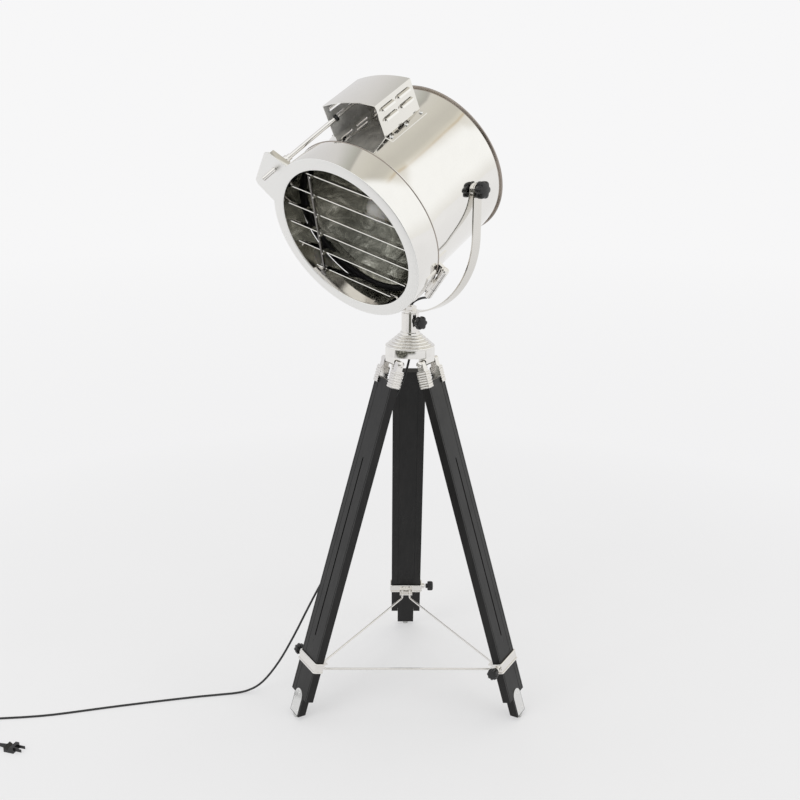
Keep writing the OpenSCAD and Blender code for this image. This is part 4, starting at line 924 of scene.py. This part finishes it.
bpy.ops.mesh.primitive_plane_add(size=60, location=(0, 0, 0))
floor = bpy.context.object
floor.name = "floor"
floor.data.materials.append(floor_material())


# ---- world ----
def smooth_step(nt, x, lo, hi):
    return to_range(nt, x, 0.0, 1.0, lo, hi, "SMOOTHSTEP")


def studio():
    world = bpy.data.worlds.new("studio")
    bpy.context.scene.world = world
    world.use_nodes = True
    nt = world.node_tree
    nt.nodes.clear()
    out = nt.nodes.new("ShaderNodeOutputWorld")
    lit = nt.nodes.new("ShaderNodeBackground")
    white = nt.nodes.new("ShaderNodeBackground")
    white.inputs["Color"].default_value = (0.93, 0.928, 0.932, 1)
    white.inputs["Strength"].default_value = 1.0
    seen = nt.nodes.new("ShaderNodeLightPath")
    direction = nt.nodes.new("ShaderNodeTexCoord")
    parts = nt.nodes.new("ShaderNodeSeparateXYZ")
    nt.links.new(direction.outputs["Generated"], parts.inputs[0])
    x, y, z = parts.outputs
    # a warm wall and ceiling behind the lamp on the left, white screens to the right,
    # and a darker place in front of the lamp
    behind = smooth_step(nt, maths(nt, "ADD", y, maths(nt, "MULTIPLY", z, 0.6)), 0.30, 0.46)
    wall = ramp(nt, to_range(nt, x, 0.0, 1.0, -0.5, 1.0), [
        (0.0, (0.66, 0.66, 0.68)), (0.20, (0.62, 0.61, 0.60)), (0.305, (0.44, 0.44, 0.40)),
        (0.34, (0.40, 0.39, 0.36)), (0.36, (0.62, 0.60, 0.55)), (0.46, (0.59, 0.57, 0.51)),
        (0.56, (0.54, 0.52, 0.465)), (0.64, (0.55, 0.53, 0.47)), (0.685, (0.64, 0.61, 0.53)),
        (0.705, (0.57, 0.49, 0.37)), (0.725, (0.72, 0.70, 0.65)), (0.82, (0.76, 0.75, 0.71)),
        (0.90, (0.93, 0.94, 0.93))])
    wall = mix_color(nt, smooth_step(nt, y, 0.62, 0.95), wall, (0.66, 0.655, 0.66))
    colour = mix_color(nt, behind, (0.92, 0.925, 0.915), wall)
    below = smooth_step(nt, maths(nt, "MULTIPLY", z, -1.0), -0.25, 0.1)
    low_side = maths(nt, "MULTIPLY", smooth_step(nt, x, 0.6, 0.95), below)
    colour = mix_color(nt, maths(nt, "MULTIPLY", low_side, 0.5), colour, (0.62, 0.60, 0.56))
    level = smooth_step(nt, maths(nt, "ABSOLUTE", maths(nt, "SUBTRACT", z, 0.02)), 0.26, 0.10)
    before = smooth_step(nt, maths(nt, "MULTIPLY", y, -1.0), 0.62, 0.86)
    colour = mix_color(nt, maths(nt, "MULTIPLY", before, level), colour, (0.07, 0.068, 0.064))
    nt.links.new(colour, lit.inputs["Color"])
    strength = maths(nt, "ADD", maths(nt, "MULTIPLY", seen.outputs["Is Glossy Ray"], 0.32), 0.85)
    nt.links.new(strength, lit.inputs["Strength"])
    both = mix_shader(nt, seen.outputs["Is Camera Ray"], lit.outputs[0], white.outputs[0])
    nt.links.new(both, out.inputs[0])


studio()


# ---- lamps: soft boxes that light the object and aren't mirrored in it ----
def area(name, loc, size, power):
    light = bpy.data.lights.new(name, "AREA")
    light.shape, light.size, light.size_y, light.energy = "RECTANGLE", size[0], size[1], power
    o = bpy.data.objects.new(name, light)
    bpy.context.collection.objects.link(o)
    o.location = loc
    o.rotation_euler = (Vector((0, 0, 0.8)) - Vector(loc)).to_track_quat("-Z", "Y").to_euler()
    o.visible_glossy = False


area("key_softbox", (-2.2, -2.2, 3.0), (2.0, 2.0), 32)
area("fill_right", (2.6, -1.2, 1.8), (1.2, 2.2), 8)
area("top_box", (0.2, 0.6, 3.4), (2.4, 2.4), 26)

bpy.context.scene.view_settings.view_transform = "Standard"
